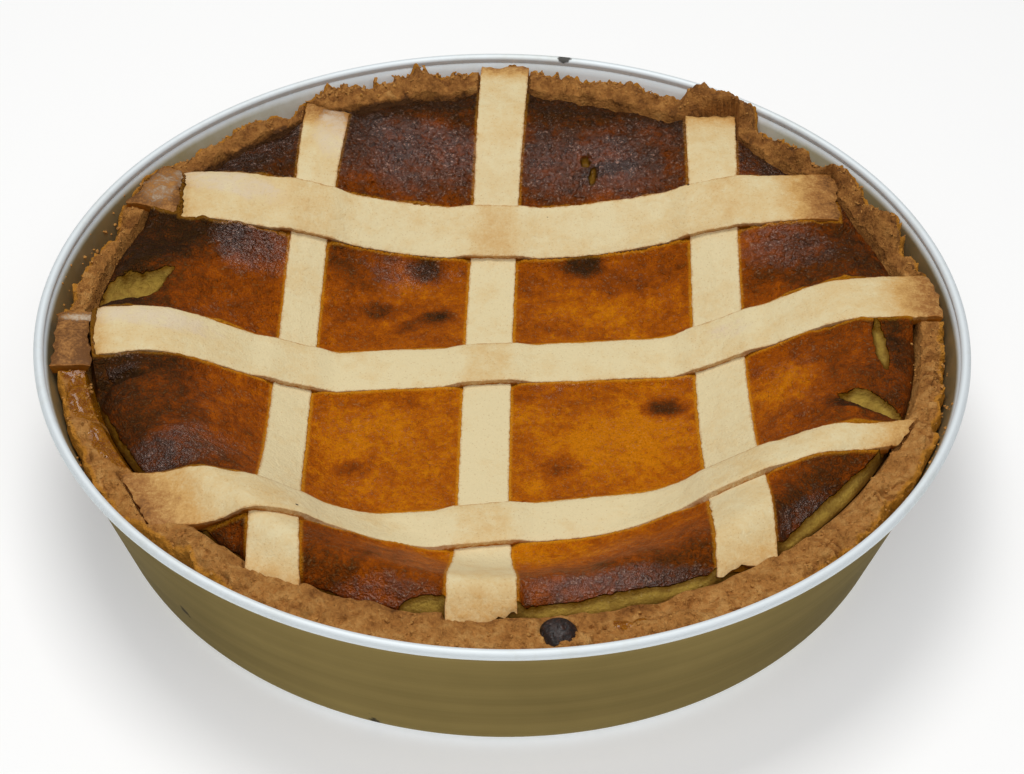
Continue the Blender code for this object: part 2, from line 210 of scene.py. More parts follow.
@dataclass(frozen=True)
class Band:
    """A strip of pastry between two points of the plan, as its solid has it."""

    name: str
    start: Pair
    end: Pair
    widths: Triple
    bow: float = 0.0
    slants: Pair = (0.0, 0.0)
    laid: bool = True
    toast: float = 0.0
    ends: tuple[End, End] = (End(0.2, 0.01), End(0.2, 0.01))
    taper: float = 0.28

    def axes(self) -> tuple[Array, Array, float]:
        """Find which way the band runs.

        Returns:
            The unit vectors along it and to its left, and its length.
        """
        way = np.subtract(self.end, self.start)
        length = float(np.hypot(*way))
        along = way / length
        return along, np.array((-along[1], along[0])), length

    def width(self, along: Array) -> Array:
        """Find the band's width.

        Args:
            along: Shares of the length.

        Returns:
            The widths.
        """
        first, middle, last = self.widths
        wider = (first - middle) * fade(along, self.taper)
        return middle + wider + (last - middle) * fade(1.0 - along, self.taper)

    def aside(self, along: Array) -> Array:
        """Return how far the middle line bows to the left at a share of the length."""
        return self.bow * 4.0 * along * (1.0 - along)

    def slant(self, along: Array) -> Array:
        """Return how far the left edge runs ahead of the right one at a share of the length."""
        return self.slants[0] * (1.0 - along) + self.slants[1] * along

    def point(self, along: Array, across: Array) -> Plan:
        """Find places on the band.

        Args:
            along: Share of the length, 0 to 1.
            across: -1 at the right edge to 1 at the left edge.

        Returns:
            The places.
        """
        run, left, _ = self.axes()
        aside = self.aside(along) + 0.5 * across * self.width(along)
        ahead = 0.5 * across * self.slant(along)
        x = self.start[0] + (self.end[0] - self.start[0]) * along
        y = self.start[1] + (self.end[1] - self.start[1]) * along
        return Plan(x + left[0] * aside + run[0] * ahead, y + left[1] * aside + run[1] * ahead)

    def outside(self, plan: Plan) -> Array:
        """Find how far places are from the band's outline in plan.

        Args:
            plan: The places.

        Returns:
            The distance, less than 0 inside the band.
        """
        run, left, length = self.axes()
        x, y = plan.x - self.start[0], plan.y - self.start[1]
        ahead, aside = x * run[0] + y * run[1], x * left[0] + y * left[1]
        along = np.clip(ahead / length, 0.0, 1.0)
        aside = aside - self.aside(along)
        half = 0.5 * self.width(along)
        ahead = ahead - 0.5 * np.clip(aside / half, -1.0, 1.0) * self.slant(along)
        over_side = np.abs(aside) - half
        over_end = np.maximum(-ahead, ahead - length)
        apart = np.hypot(np.maximum(over_side, 0.0), np.maximum(over_end, 0.0))
        return apart + np.minimum(np.maximum(over_side, over_end), 0.0)


SUNKEN_BANDS = (
    Band("band_left", (-0.0613, -0.103), (-0.0603, 0.107), (0.0152, 0.0112, 0.0146),
         bow=0.0028, slants=(0.005, 0.006), laid=False, ends=(End(0.2, 0.008), End(0.66, 0.018))),
    Band("band_centre", (-0.004, -0.1165), (-0.0013, 0.134), (0.0192, 0.0146, 0.0162),
         bow=0.0018, slants=(-0.003, 0.0), laid=False, ends=(End(0.25, 0.014), End(0.62, 0.011))),
    Band("band_right", (0.0687, -0.0955), (0.0677, 0.107), (0.0172, 0.0147, 0.0166),
         bow=0.0015, slants=(-0.008, -0.0012), laid=False, ends=(End(0.2, 0.01), End(0.4, 0.01))),
)
LAID_BANDS = (
    Band("band_back", (-0.1034, 0.0576), (0.106, 0.0627), (0.0235, 0.018, 0.0235), toast=0.05,
         ends=(End(0.16, 0.006), End(0.7, 0.022))),
    Band("band_middle", (-0.1222, -0.0092), (0.1325, 0.0142), (0.0208, 0.0174, 0.0196),
         bow=0.0014, ends=(End(0.22, 0.006), End(0.68, 0.02))),
    Band("band_front", (-0.1018, -0.0768), (0.1175, -0.045), (0.0205, 0.0158, 0.0095),
         bow=-0.003, slants=(-0.008, 0.0083), ends=(End(0.62, 0.026), End(0.4, 0.016))),
)
BROKEN_ENDS = (
    Band("band_back_end", (-0.1163, 0.0629), (-0.1045, 0.0588), (0.0215, 0.0205, 0.0212),
         slants=(0.0022, -0.0083), toast=0.74, ends=(End(0.1, 0.003), End(0.15, 0.003))),
    Band("band_middle_end", (-0.1336, -0.0135), (-0.1232, -0.0125), (0.0225, 0.0236, 0.0236),
         toast=0.78, ends=(End(0.1, 0.003), End(0.15, 0.003))),
)
ALL_BANDS = SUNKEN_BANDS + LAID_BANDS + BROKEN_ENDS


@dataclass(frozen=True)
class Flap:
    """A torn or raised stretch of the crust's top, at an angle in degrees."""

    angle: float
    half_width: float
    lift: float
    reach: float
    steep: float = 1.0

    def share(self, degrees: Array) -> Array:
        """Return how far the stretch is raised at some angles, 0 to 1."""
        return window(degrees, self.angle, self.half_width, self.steep)


FLAPS = (
    Flap(9, 8, 0.003, 0.002),
    Flap(22, 6, 0.005, 0.002),
    Flap(33, 6, 0.0056, 0.001),
    Flap(42, 5, 0.004, -0.001),
    Flap(57, 7.0, 0.0064, 0.0045, 2.6),
    Flap(73, 5, 0.002, 0.001),
    Flap(90, 6, 0.001, 0.005),
    Flap(104, 4, 0.0022, 0.003),
    Flap(117, 6, 0.0015, 0.003),
    Flap(125, 5, -0.0015, -0.0035),
    Flap(150, 8, 0.002, 0.003),
    Flap(163, 6, -0.0015, -0.002),
    Flap(212, 12, 0.0000, 0.0012),
    Flap(229, 10, 0.003, -0.002),
    Flap(243, 7, -0.0015, -0.001),
    Flap(300, 12, -0.0012, 0.0005),
    Flap(338, 10, 0.001, 0.0012),
)


@dataclass(frozen=True)
class PieForm:
    """The sizes and surfaces that the pie's pieces share, as its solids have them."""

    gap: float = 0.0003
    wall_gap: float = 0.0005
    floor_height: float = 0.006
    floor_radius: float = 0.104
    middle_height: float = 0.031
    crest_height: float = 0.053
    crest_radius: float = 0.112
    rise_start: float = 0.049
    rise_start_back: float = -0.012
    rise_start_front: float = 0.026
    start_blend: float = 0.04
    back_tilt: float = 0.002
    tilt_blend: float = 0.06
    front_fall: float = 0.008
    front_fall_power: float = 1.5
    front_fall_start: float = 0.104
    front_fall_end: float = 0.12
    edge_middle: float = 0.119
    edge_wider_at_sides: float = 0.006
    edge_narrower_in_front: float = 0.006
    edge_level: float = 0.0465
    edge_tilt: float = 0.005
    shoulder: float = 0.014
    front_sine: float = -0.6
    wrinkle: Relief = Relief(0.0009, 0.011)
    wrinkle_start: float = 0.05
    wrinkle_blend: float = 0.05
    band_thickness: float = 0.0034
    sunk_lift: float = 0.0008
    laid_lift: float = 0.0018
    crossing_lift: float = 0.0014
    crossing_blend: float = 0.008
    seat_blend: float = 0.007
    edge_droop: float = 0.00025

    def rise(self, plan: Plan) -> Array:
        """Find how far up the swell places lie.

        Args:
            plan: The places.

        Returns:
            0 in the sunken middle to 1 on the crest.
        """
        radius, back = plan.radius, plan.back
        start = self.rise_start + climb(radius, 0.0, self.start_blend) * (
            self.rise_start_back * np.maximum(back, 0.0)
            + self.rise_start_front * np.minimum(back, 0.0) ** 2)
        return climb(radius, start, self.crest_radius - start)

    def swell(self, plan: Plan) -> Array:
        """Find the height of the filling, with no drop at its edge.

        Args:
            plan: The places.

        Returns:
            The heights.
        """
        radius, back = plan.radius, plan.back
        middle = self.middle_height + self.back_tilt * back * climb(radius, 0.0, self.tilt_blend)
        crest = self.crest_height + self.back_tilt * back
        fall = self.front_fall * np.maximum(-back, 0.0) ** self.front_fall_power
        run = self.front_fall_end - self.front_fall_start
        return (middle + (crest - middle) * self.rise(plan)
                - fall * climb(radius, self.front_fall_start, run))

    def band_top(self, band: Band, plan: Plan) -> Array:
        """Find the height of a band's top.

        Args:
            band: The band.
            plan: The places.

        Returns:
            The heights, raised over the sunken bands where the band is laid.
        """
        if not band.laid:
            return self.swell(plan) + self.sunk_lift
        crossing = fade(self.apart(SUNKEN_BANDS, plan), self.crossing_blend)
        return self.swell(plan) + self.laid_lift + self.crossing_lift * crossing

    @staticmethod
    def apart(bands: tuple[Band, ...], plan: Plan) -> Array:
        """Return the distance in plan to the nearest of some bands, less than 0 inside one."""
        return np.min([band.outside(plan) for band in bands], axis=0)

    def seat(self, plan: Plan) -> Array:
        """Return 1 under a band, falling to 0 well away from all of them."""
        return fade(self.apart(ALL_BANDS, plan), self.seat_blend)

    def edge_radius(self, angle: Array) -> Array:
        """Return the radius of the filling's edge."""
        return (self.edge_middle + self.edge_wider_at_sides * np.cos(angle) ** 2
                - self.edge_narrower_in_front * np.maximum(-np.sin(angle), 0.0))

    def edge_height(self, angle: Array) -> Array:
        """Return the height of the filling's edge."""
        return self.edge_level + self.edge_tilt * np.sin(angle)

    def filling_top(self, plan: Plan) -> Array:
        """Find the height of the filling's skin, with no room for the bands.

        Args:
            plan: The places.

        Returns:
            The heights, down to the foot of the filling's edge.
        """
        radius, angle = plan.radius, plan.angle
        inner = self.edge_radius(angle) - self.shoulder
        share = np.clip((radius - inner) / self.shoulder, 0.0, 1.0)
        drop = 1.0 - np.sqrt(np.maximum(1.0 - share ** 2, 0.0))
        seated = (1.0 - self.seat(plan)) * (share < 1.0) + (share >= 1.0)
        drop = np.where(np.sin(angle) > self.front_sine, drop * seated, drop)
        top = self.swell(plan)
        crumple = self.wrinkle.at(plan, top)
        crumple = crumple * climb(radius, self.wrinkle_start, self.wrinkle_blend)
        foot = self.edge_height(angle)
        return top + (foot - top) * drop + crumple * (share < 1.0)


PIE = PieForm()


# ---- mesh making

def deselect() -> None:
    """Leave edit mode and deselect every object."""
    if bpy.context.object and bpy.context.object.mode != "OBJECT":
        bpy.ops.object.mode_set(mode="OBJECT")
    for obj in bpy.context.selected_objects:
        obj.select_set(False)


def activate(obj: Piece) -> None:
    """Make one object the only selected and active one.

    Args:
        obj: The object.
    """
    deselect()
    bpy.context.view_layer.objects.active = obj
    obj.select_set(True)


def grid(name: str, columns: int, rows: int) -> Piece:
    """Add a flat grid from -1 to 1 both ways.

    Args:
        name: Name of the object and its mesh.
        columns: Cells along x.
        rows: Cells along y.

    Returns:
        The grid object.
    """
    deselect()
    bpy.ops.mesh.primitive_grid_add(x_subdivisions=columns, y_subdivisions=rows, size=2.0)
    obj = bpy.context.object
    obj.name = obj.data.name = name
    return obj


def points_of(obj: Piece) -> Array:
    """Read where a mesh's vertices are.

    Args:
        obj: The mesh object.

    Returns:
        One row a vertex.
    """
    places = np.empty(len(obj.data.vertices) * 3)
    obj.data.vertices.foreach_get("co", places)
    return places.reshape(-1, 3)


def move_points(obj: Piece, x: Array, y: Array, z: Array) -> None:
    """Move a mesh's vertices to new places.

    Args:
        obj: The mesh object.
        x: New x of each vertex.
        y: New y of each vertex.
        z: New z of each vertex.
    """
    places = np.stack([x, y, z], axis=1)
    obj.data.vertices.foreach_set("co", places.ravel())
    obj.data.update()


def keep(obj: Piece, **layers: Array) -> None:
    """Store numbers on each vertex, for the finish to read.

    Args:
        obj: The mesh object.
        layers: By name, one number a vertex.
    """
    for name, values in layers.items():
        layer = obj.data.attributes.new(name, "FLOAT", "POINT")
        layer.data.foreach_set("value", np.asarray(values, dtype=np.float32))


def modify(obj: Piece, kind: str, **settings: object) -> None:
    """Add a modifier and apply it.

    Args:
        obj: The mesh object.
        kind: The modifier's type.
        settings: Values of the modifier's properties.
    """
    activate(obj)
    modifier = obj.modifiers.new(kind.title(), kind)
    for name, value in settings.items():
        setattr(modifier, name, value)
    bpy.ops.object.modifier_apply(modifier=modifier.name)


def weld(obj: Piece) -> None:
    """Close a mesh's seams and poles and turn its faces outward.

    Args:
        obj: The mesh object.
    """
    activate(obj)
    bpy.ops.object.mode_set(mode="EDIT")
    bpy.ops.mesh.select_all(action="SELECT")
    bpy.ops.mesh.remove_doubles(threshold=MERGE)
    bpy.ops.mesh.normals_make_consistent(inside=False)
    bpy.ops.object.mode_set(mode="OBJECT")


def wrap(name: str, radii: Array, heights: Array) -> Piece:
    """Roll a grid into a closed body round the Z axis.

    Args:
        name: Name of the object.
        radii: Radius by row of the section and by step round the axis, first step not repeated.
        heights: Height by row and by step.

    Returns:
        The closed body.
    """
    rows, steps = radii.shape
    obj = grid(name, steps, rows - 1)
    u, v, _ = points_of(obj).T
    step = np.rint((u + 1.0) / 2.0 * steps).astype(int)
    row = np.rint((v + 1.0) / 2.0 * (rows - 1)).astype(int)
    angle = 2.0 * np.pi * (step % steps) / steps
    radius, height = radii[row, step % steps], heights[row, step % steps]
    move_points(obj, radius * np.cos(angle), radius * np.sin(angle), height)
    weld(obj)
    return obj


def finish_piece(obj: Piece, material: Material, slot: str,
                 *nodes: str, sharp: float = 40.0) -> Piece:
    """Give a piece its finish and its place in the part.

    Args:
        obj: The piece.
        material: Its finish.
        slot: The record's material slot; not used.
        nodes: The solids that it stands for.
        sharp: Edges sharper than this many degrees aren't shaded smooth.

    Returns:
        The same piece.
    """
    activate(obj)
    bpy.ops.object.shade_smooth_by_angle(angle=math.radians(sharp))
    obj.data.materials.clear()
    obj.data.materials.append(material)
    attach(obj, ROOT)
    if nodes:
        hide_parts(*nodes)
    LOG.info("%s: %d vertices, %d faces", obj.name, len(obj.data.vertices), len(obj.data.polygons))
    return obj


def copies(name: str, model: Piece, places: list[Matrix]) -> Piece:
    """Make one mesh of many copies of a modelled shape, and remove the shape.

    Args:
        name: Name of the new object.
        model: The shape that repeats.
        places: Where each copy goes.

    Returns:
        The object that holds all copies.
    """
    corners = np.c_[points_of(model), np.ones(len(model.data.vertices))]
    faces = [tuple(face.vertices) for face in model.data.polygons]
    points, polygons = [], []
    for place in places:
        first = len(points)
        points.extend((corners @ np.array(place).T)[:, :3].tolist())
        polygons.extend(tuple(first + corner for corner in face) for face in faces)
    mesh = bpy.data.meshes.new(name)
    mesh.from_pydata(points, [], polygons)
    obj = bpy.data.objects.new(name, mesh)
    bpy.context.scene.collection.objects.link(obj)
    bpy.data.objects.remove(model, do_unlink=True)
    return obj


# ---- finishes

Color = Triple
Stops = tuple[tuple[float, Color], ...]
NOISE_MIDDLE = 0.5


def paint(red: int, green: int, blue: int) -> Color:
    """Turn a colour as a screen shows it into light.

    Args:
        red: Red, 0 to 255.
        green: Green, 0 to 255.
        blue: Blue, 0 to 255.

    Returns:
        The colour, each part 0 to 1.
    """
    shares = [value / 255.0 for value in (red, green, blue)]
    light = [s / 12.92 if s <= 0.04045 else ((s + 0.055) / 1.055) ** 2.4 for s in shares]
    return light[0], light[1], light[2]


@dataclass(frozen=True)
class Lumps:
    """Cloudy noise: size of a lump in metres, count and strength of finer ones, and a warp."""

    size: float
    detail: float = 2.0
    rough: float = 0.5
    warp: float = 0.0


@dataclass(frozen=True)
class Bump:
    """How deep a relief is, in metres, and how strongly it bends the normal."""

    depth: float
    strength: float


class Value:
    """A number that changes over a surface. Arithmetic on it adds Math nodes."""

    def __init__(self, shader: "Shader", socket: Socket) -> None:
        """Wrap an output socket of a shader's node."""
        self.shader = shader
        self.socket = socket

    def __add__(self, other: "Value | float") -> "Value":
        """Return the sum."""
        return self.shader.maths("ADD", self, other)

    __radd__ = __add__

    def __sub__(self, other: "Value | float") -> "Value":
        """Return this less the other."""
        return self.shader.maths("SUBTRACT", self, other)

    def __rsub__(self, other: float) -> "Value":
        """Return the other less this."""
        return self.shader.maths("SUBTRACT", other, self)

    def __mul__(self, other: "Value | float") -> "Value":
        """Return the product."""
        return self.shader.maths("MULTIPLY", self, other)

    def __truediv__(self, other: "Value | float") -> "Value":
        """Return this divided by the other."""
        return self.shader.maths("DIVIDE", self, other)

    def about(self, weight: float) -> "Value":
        """Return how far a noise is from its middle, times a weight."""
        return (self - NOISE_MIDDLE) * weight

    def held(self) -> "Value":
        """Return this kept between 0 and 1."""
        return self.shader.maths("ADD", self, 0.0, clamp=True)

    def step(self, low: float, high: float) -> "Value":
        """Return a smooth step from 0 at low to 1 at high."""
        made = self.shader.node("ShaderNodeMapRange", {"interpolation_type": "SMOOTHSTEP"},
                                {"Value": self, "From Min": low, "From Max": high})
        return Value(self.shader, made.outputs["Result"])


class Shader:
    """A material in the making."""

    def __init__(self, name: str) -> None:
        """Start an empty material.

        Args:
            name: Its name.
        """
        self.material = bpy.data.materials.new(name)
        self.material.use_nodes = True
        self.tree = self.material.node_tree
        self.tree.nodes.clear()
        self.place = self.node("ShaderNodeTexCoord", {}, {}).outputs["Object"]

    def node(self, kind: str, settings: dict, sockets: dict) -> bpy.types.Node:
        """Add a node.

        Args:
            kind: The node's type.
            settings: Its properties, and a colour ramp's stops, set first.
            sockets: What each input gets, a number, colour, vector, Value or socket.

        Returns:
            The node.
        """
        made = self.tree.nodes.new(kind)
        for name, value in settings.items():
            if name == "stops":
                self.set_stops(made.color_ramp, value)
            else:
                setattr(made, name, value)
        for name, value in sockets.items():
            self.feed(made.inputs[name], value)
        return made

    @staticmethod
    def set_stops(ramp: bpy.types.ColorRamp, stops: Stops) -> None:
        """Give a colour ramp its stops.

        Args:
            ramp: The ramp.
            stops: Place, 0 to 1, and colour of each.
        """
        for place, color in stops[2:]:
            ramp.elements.new(place)
        for element, (place, color) in zip(ramp.elements, stops):
            element.position = place
            element.color = (*color, 1.0)

    def feed(self, socket: Socket, given: object) -> None:
        """Link a socket to what it is given, or set it.

        Args:
            socket: The input.
            given: A number, colour, vector, Value or socket.
        """
        if isinstance(given, Value):
            given = given.socket
        if isinstance(given, Socket):
            self.tree.links.new(given, socket)
        elif socket.type == "RGBA":
            socket.default_value = (*given, 1.0)
        else:
            socket.default_value = given

    def maths(self, operation: str, first: "Value | float", second: "Value | float",
              clamp: bool = False) -> Value:
        """Return what a Math node makes of two numbers, kept between 0 and 1 if asked."""
        made = self.node("ShaderNodeMath", {"operation": operation, "use_clamp": clamp},
                         {0: first, 1: second})
        return Value(self, made.outputs[0])

    def kept(self, *names: str) -> list[Value]:
        """Return numbers that the mesh holds on its vertices."""
        made = [self.node("ShaderNodeAttribute", {"attribute_name": name}, {}) for name in names]
        return [Value(self, node.outputs["Fac"]) for node in made]

    def lumps(self, noise: Lumps, place: Socket | None = None) -> Value:
        """Return cloudy noise, 0 to 1, read at a place other than Object coordinates if given."""
        made = self.node("ShaderNodeTexNoise", {}, {
            "Vector": place or self.place, "Scale": 1.0 / noise.size, "Detail": noise.detail,
            "Roughness": noise.rough, "Distortion": noise.warp})
        return Value(self, made.outputs["Fac"])

    def cells(self, size: float, feature: str = "F1") -> Value:
        """Return the distance to the nearest of scattered points that are a size apart."""
        made = self.node("ShaderNodeTexVoronoi", {"feature": feature},
                         {"Vector": self.place, "Scale": 1.0 / size})
        return Value(self, made.outputs["Distance"])

    def stretched(self, x: float, y: float, z: float) -> Socket:
        """Return Object coordinates scaled by a factor each way."""
        made = self.node("ShaderNodeMapping", {}, {"Vector": self.place, "Scale": (x, y, z)})
        return made.outputs["Vector"]

    def ramp(self, value: Value, stops: Stops) -> Socket:
        """Return the colour that a ramp gives for a number."""
        return self.node("ShaderNodeValToRGB", {"stops": stops}, {"Fac": value}).outputs["Color"]

    def mix(self, share: "Value | float", first: object, second: object) -> Socket:
        """Return a colour between two colours or sockets."""
        made = self.node("ShaderNodeMix", {"data_type": "RGBA"},
                         {"Factor": share, 6: first, 7: second})
        return made.outputs[2]

    def bump(self, height: Value, bump: Bump, under: Socket | None = None) -> Socket:
        """Add a relief.

        Args:
            height: Its height, 0 to 1.
            bump: Its depth and strength.
            under: The normal that it lies on.

        Returns:
            The normal.
        """
        sockets = {"Height": height, "Distance": bump.depth, "Strength": bump.strength}
        if under is not None:
            sockets["Normal"] = under
        return self.node("ShaderNodeBump", {}, sockets).outputs["Normal"]

    def principled(self, **sockets: object) -> Socket:
        """Return a Principled shader, its inputs given by name with _ for a space."""
        named = {name.replace("_", " "): value for name, value in sockets.items()}
        return self.node("ShaderNodeBsdfPrincipled", {}, named).outputs["BSDF"]

    def close(self, first: Socket, second: Socket | None = None,
              share: Value | float = 0.0) -> Material:
        """End in one shader, or in a mix of two.

        Args:
            first: The shader.
            second: A shader over it.
            share: How much of the second shows, 0 to 1.

        Returns:
            The material.
        """
        if second is not None:
            made = self.node("ShaderNodeMixShader", {}, {0: share, 1: first, 2: second})
            first = made.outputs[0]
        self.node("ShaderNodeOutputMaterial", {}, {"Surface": first})
        return self.material


@dataclass(frozen=True)
class SkinFinish:
    """The filling's skin: gold to burnt, caramel by the bands, with bare custard in its tears,
    painted highlights on its pebbles and painted shade between them.
    """

    gold: Color = paint(208, 121, 3)
    orange: Color = paint(179, 90, 2)
    amber: Color = paint(146, 66, 3)
    brown: Color = paint(112, 49, 5)
    dark: Color = paint(74, 34, 9)
    burnt: Color = paint(38, 19, 9)
    caramel: Color = paint(214, 142, 24)
    custard: Color = paint(134, 104, 44)
    curd: Color = paint(164, 134, 58)
    # darker custard where little shows: painted shade under the skin's edge and inside the
    # pinholes, and custard soaked with syrup
    shaded_and_soaked_custard: Color = paint(100, 66, 8)
    # painted highlights, light specks on the pebbles' tops, and painted shade between the pebbles
    painted_sparkle: Color = paint(232, 156, 52)
    painted_glints: Color = paint(206, 156, 134)
    pebble_shade: Color = paint(70, 28, 6)
    warm: Color = (1.0, 0.55, 0.12)
    wet: Color = (1.0, 0.88, 0.84)
    patchy: Lumps = Lumps(0.009, 3.0, 0.55, 0.5)
    mottled: Lumps = Lumps(0.003, 4.0, 0.6, 0.4)
    fine: Lumps = Lumps(0.0007, 3.0, 0.55)
    pebble_size: float = 0.0013
    border: float = 0.0013  # width of the caramel line beside a band
    mottled_bump: Bump = Bump(0.0014, 0.8)
    pebbled_bump: Bump = Bump(0.0012, 0.9)
    fine_bump: Bump = Bump(0.0008, 0.9)
    dry: float = 0.48  # roughness of baked skin
    slick: float = 0.2  # roughness where it is glazed

    def make(self) -> Material:
        """Make the material.

        Returns:
            The material.
        """
        shader = Shader("baked_skin")
        toast, strip, bare, gloss, pebbly = shader.kept("toast", "strip", "bare", "gloss", "pebbly")
        patchy, mottled, fine = map(shader.lumps, (self.patchy, self.mottled, self.fine))
        pebbled = shader.cells(self.pebble_size, "SMOOTH_F1")
        uneven = patchy.about(0.62) + mottled.about(0.8) + fine.about(0.9)
        skin = shader.ramp(toast + uneven, (
            (0.0, self.gold), (0.2, self.orange), (0.42, self.amber), (0.62, self.brown),
            (0.8, self.dark), (1.0, self.burnt)))
        border = (1.0 - strip / self.border + mottled.about(0.9) + fine.about(0.6)).step(0.0, 0.8)
        skin = shader.mix(border * (1.15 - toast * 0.85).held() * 0.85, skin, self.caramel)
        # painted highlights on the pebbles' tops, golden on pale skin and pinkish where it is
        # glossy, then painted shade between the pebbles
        painted_glint_mask = (0.1 - pebbled * 0.6 + fine.about(2.6) + mottled.about(0.8)).step(0.0, 0.4)
        skin = shader.mix(painted_glint_mask * (1.0 - toast).held() * 0.3, skin, self.painted_sparkle)
        skin = shader.mix(painted_glint_mask * (gloss * 0.4 + pebbly * 0.16), skin, self.painted_glints)
        pebble_shade = (pebbled * 0.5 - 0.22 - fine.about(2.4)).step(0.0, 0.4)
        skin = shader.mix(pebble_shade * (gloss * 0.3 + pebbly * 0.3 + 0.12), skin, self.pebble_shade)
        varied = mottled.about(0.8) + fine.about(0.4) + patchy.about(1.2)
        inside = shader.ramp(bare + varied - 0.12, (
            (0.0, self.shaded_and_soaked_custard), (0.62, self.custard), (1.0, self.curd)))
        open_skin = (bare + mottled.about(0.5) + fine.about(0.3)).step(-0.04, 0.14)
        color = shader.mix(open_skin, skin, inside)
        shut = 1.0 - open_skin * 0.5
        relief = shader.bump(mottled * shut, self.mottled_bump)
        relief = shader.bump(pebbled * shut * pebbly, self.pebbled_bump, relief)
        relief = shader.bump(fine * shut, self.fine_bump, relief)
        baked = shader.principled(
            Base_Color=color, Roughness=self.dry + mottled.about(0.3), Normal=relief,
            Specular_IOR_Level=0.27, Specular_Tint=self.warm)
        glazed = shader.principled(
            Base_Color=color, Roughness=self.slick + mottled.about(0.3), Normal=relief,
            Specular_IOR_Level=1.0, Specular_Tint=self.wet)
        share = ((gloss + mottled.about(0.9) - 0.3) * 1.5).held() * (1.0 - open_skin)
        return shader.close(baked, glazed, (share + fine.step(0.58, 0.7) * gloss * 0.6).held())


@dataclass(frozen=True)
class BandFinish:
    """A band's pastry: cream with a fine sandy grain, tan to brown where it is toasted."""

    cream: Color = paint(232, 214, 168)
    straw: Color = paint(226, 198, 144)
    tan: Color = paint(212, 166, 98)
    toasted: Color = paint(168, 114, 56)
    brown: Color = paint(112, 70, 30)
    flour: Color = paint(226, 208, 180)
    caramel: Color = paint(170, 102, 18)
    speck: Color = paint(48, 32, 20)
    cloudy: Lumps = Lumps(0.012, 3.0, 0.6)
    sandy: Lumps = Lumps(0.0008, 3.0, 0.7)
    patchy: Lumps = Lumps(0.0035, 3.0, 0.6, 0.4)
    pore_size: float = 0.0012
    speck_gap: float = 0.02
    soak: float = 0.002  # how far up its side the filling stains it
    rim: float = 0.0009  # width of the caramel line along its edge
    sandy_bump: Bump = Bump(0.00035, 0.6)
    patchy_bump: Bump = Bump(0.0008, 0.5)
    dry: float = 0.62  # roughness

    def make(self) -> Material:
        """Make the material.

        Returns:
            The material.
        """
        shader = Shader("band_pastry")
        toast, edge, flour, low = shader.kept("toast", "edge", "flour", "low")
        cloudy, sandy, patchy = map(shader.lumps, (self.cloudy, self.sandy, self.patchy))
        pores = shader.cells(self.pore_size)
        grainy = (patchy - NOISE_MIDDLE) + (sandy - NOISE_MIDDLE)
        level = toast + cloudy.about(0.44) + grainy * (0.2 + toast * 0.65)
        color = shader.ramp(level, (
            (0.0, self.cream), (0.16, self.straw), (0.42, self.tan), (0.72, self.toasted),
            (1.0, self.brown)))
        # paler, whitish patches near some band ends
        whitened = (flour + patchy.about(1.2) + sandy.about(0.8)).step(0.25, 0.95)
        color = shader.mix(whitened * 0.75, color, self.flour)
        pitted = (0.26 - pores + sandy.about(0.3)).step(0.0, 0.2)
        color = shader.mix(pitted * 0.26, color, self.toasted)
        soaked = (low / self.soak - 0.6 + patchy.about(0.9) + sandy.about(0.5)).step(0.0, 0.7)
        rimmed = (0.72 - edge / self.rim + sandy.about(1.3)
                  + (patchy - NOISE_MIDDLE)).step(0.0, 0.9)
        color = shader.mix((soaked * 0.75 + rimmed * 0.55).held(), color, self.caramel)
        specks = (0.03 - shader.cells(self.speck_gap)).step(0.0, 0.01)
        color = shader.mix(specks, color, self.speck)
        relief = shader.bump(sandy, self.sandy_bump)
        relief = shader.bump(patchy, self.patchy_bump, relief)
        return shader.close(shader.principled(
            Base_Color=color, Roughness=self.dry + patchy.about(0.2), Normal=relief,
            Specular_IOR_Level=0.25))


@dataclass(frozen=True)
class CrustFinish:
    """The case's short pastry: tan and crumbly, golden at its torn edge, amber where syrup ran."""

    pale: Color = paint(212, 160, 92)
    tan: Color = paint(180, 122, 58)
    brown: Color = paint(140, 88, 36)
    dark: Color = paint(84, 50, 18)
    gold: Color = paint(196, 130, 30)
    amber: Color = paint(136, 74, 4)
    honey: Color = paint(174, 110, 8)
    patchy: Lumps = Lumps(0.008, 4.0, 0.6, 0.5)
    crumbly: Lumps = Lumps(0.0022, 4.0, 0.7, 0.3)
    sandy: Lumps = Lumps(0.0008, 3.0, 0.7)
    crumbly_bump: Bump = Bump(0.0013, 0.8)
    sandy_bump: Bump = Bump(0.0008, 0.9)
    dry: float = 0.74  # roughness of bare pastry
    wetter: float = 0.56  # how much syrup takes off the roughness

    def make(self) -> Material:
        """Make the material.

        Returns:
            The material.
        """
        shader = Shader("crust_pastry")
        crag, fringe, wet = shader.kept("crag", "fringe", "wet")
        patchy, crumbly, sandy = map(shader.lumps, (self.patchy, self.crumbly, self.sandy))
        # crag is the pastry's paleness, with painted shade in its cracks and low on its inner lip
        # at the back
        level = crag * 0.56 + patchy * 0.54 + crumbly * 0.62 + sandy * 0.5 - 0.53
        color = shader.ramp(level, (
            (0.0, self.dark), (0.25, self.brown), (0.55, self.tan), (1.0, self.pale)))
        golden = (fringe + crumbly.about(1.2) + patchy.about(0.6)).step(0.25, 0.85)
        color = shader.mix(golden * 0.7, color, self.gold)
        runny = (wet + crumbly.about(0.9) + sandy.about(0.2)).step(0.35, 0.55)
        syrup = shader.mix(crumbly.step(0.35, 0.7), self.amber, self.honey)
        color = shader.mix(runny, color, syrup)
        relief = shader.bump(crumbly, self.crumbly_bump)
        relief = shader.bump(sandy, self.sandy_bump, relief)
        rough = self.dry + sandy.about(0.2) - runny * self.wetter
        return shader.close(shader.principled(
            Base_Color=color, Roughness=rough, Normal=relief, Coat_Weight=runny * 0.4,
            Coat_Roughness=0.12, Specular_IOR_Level=0.22))


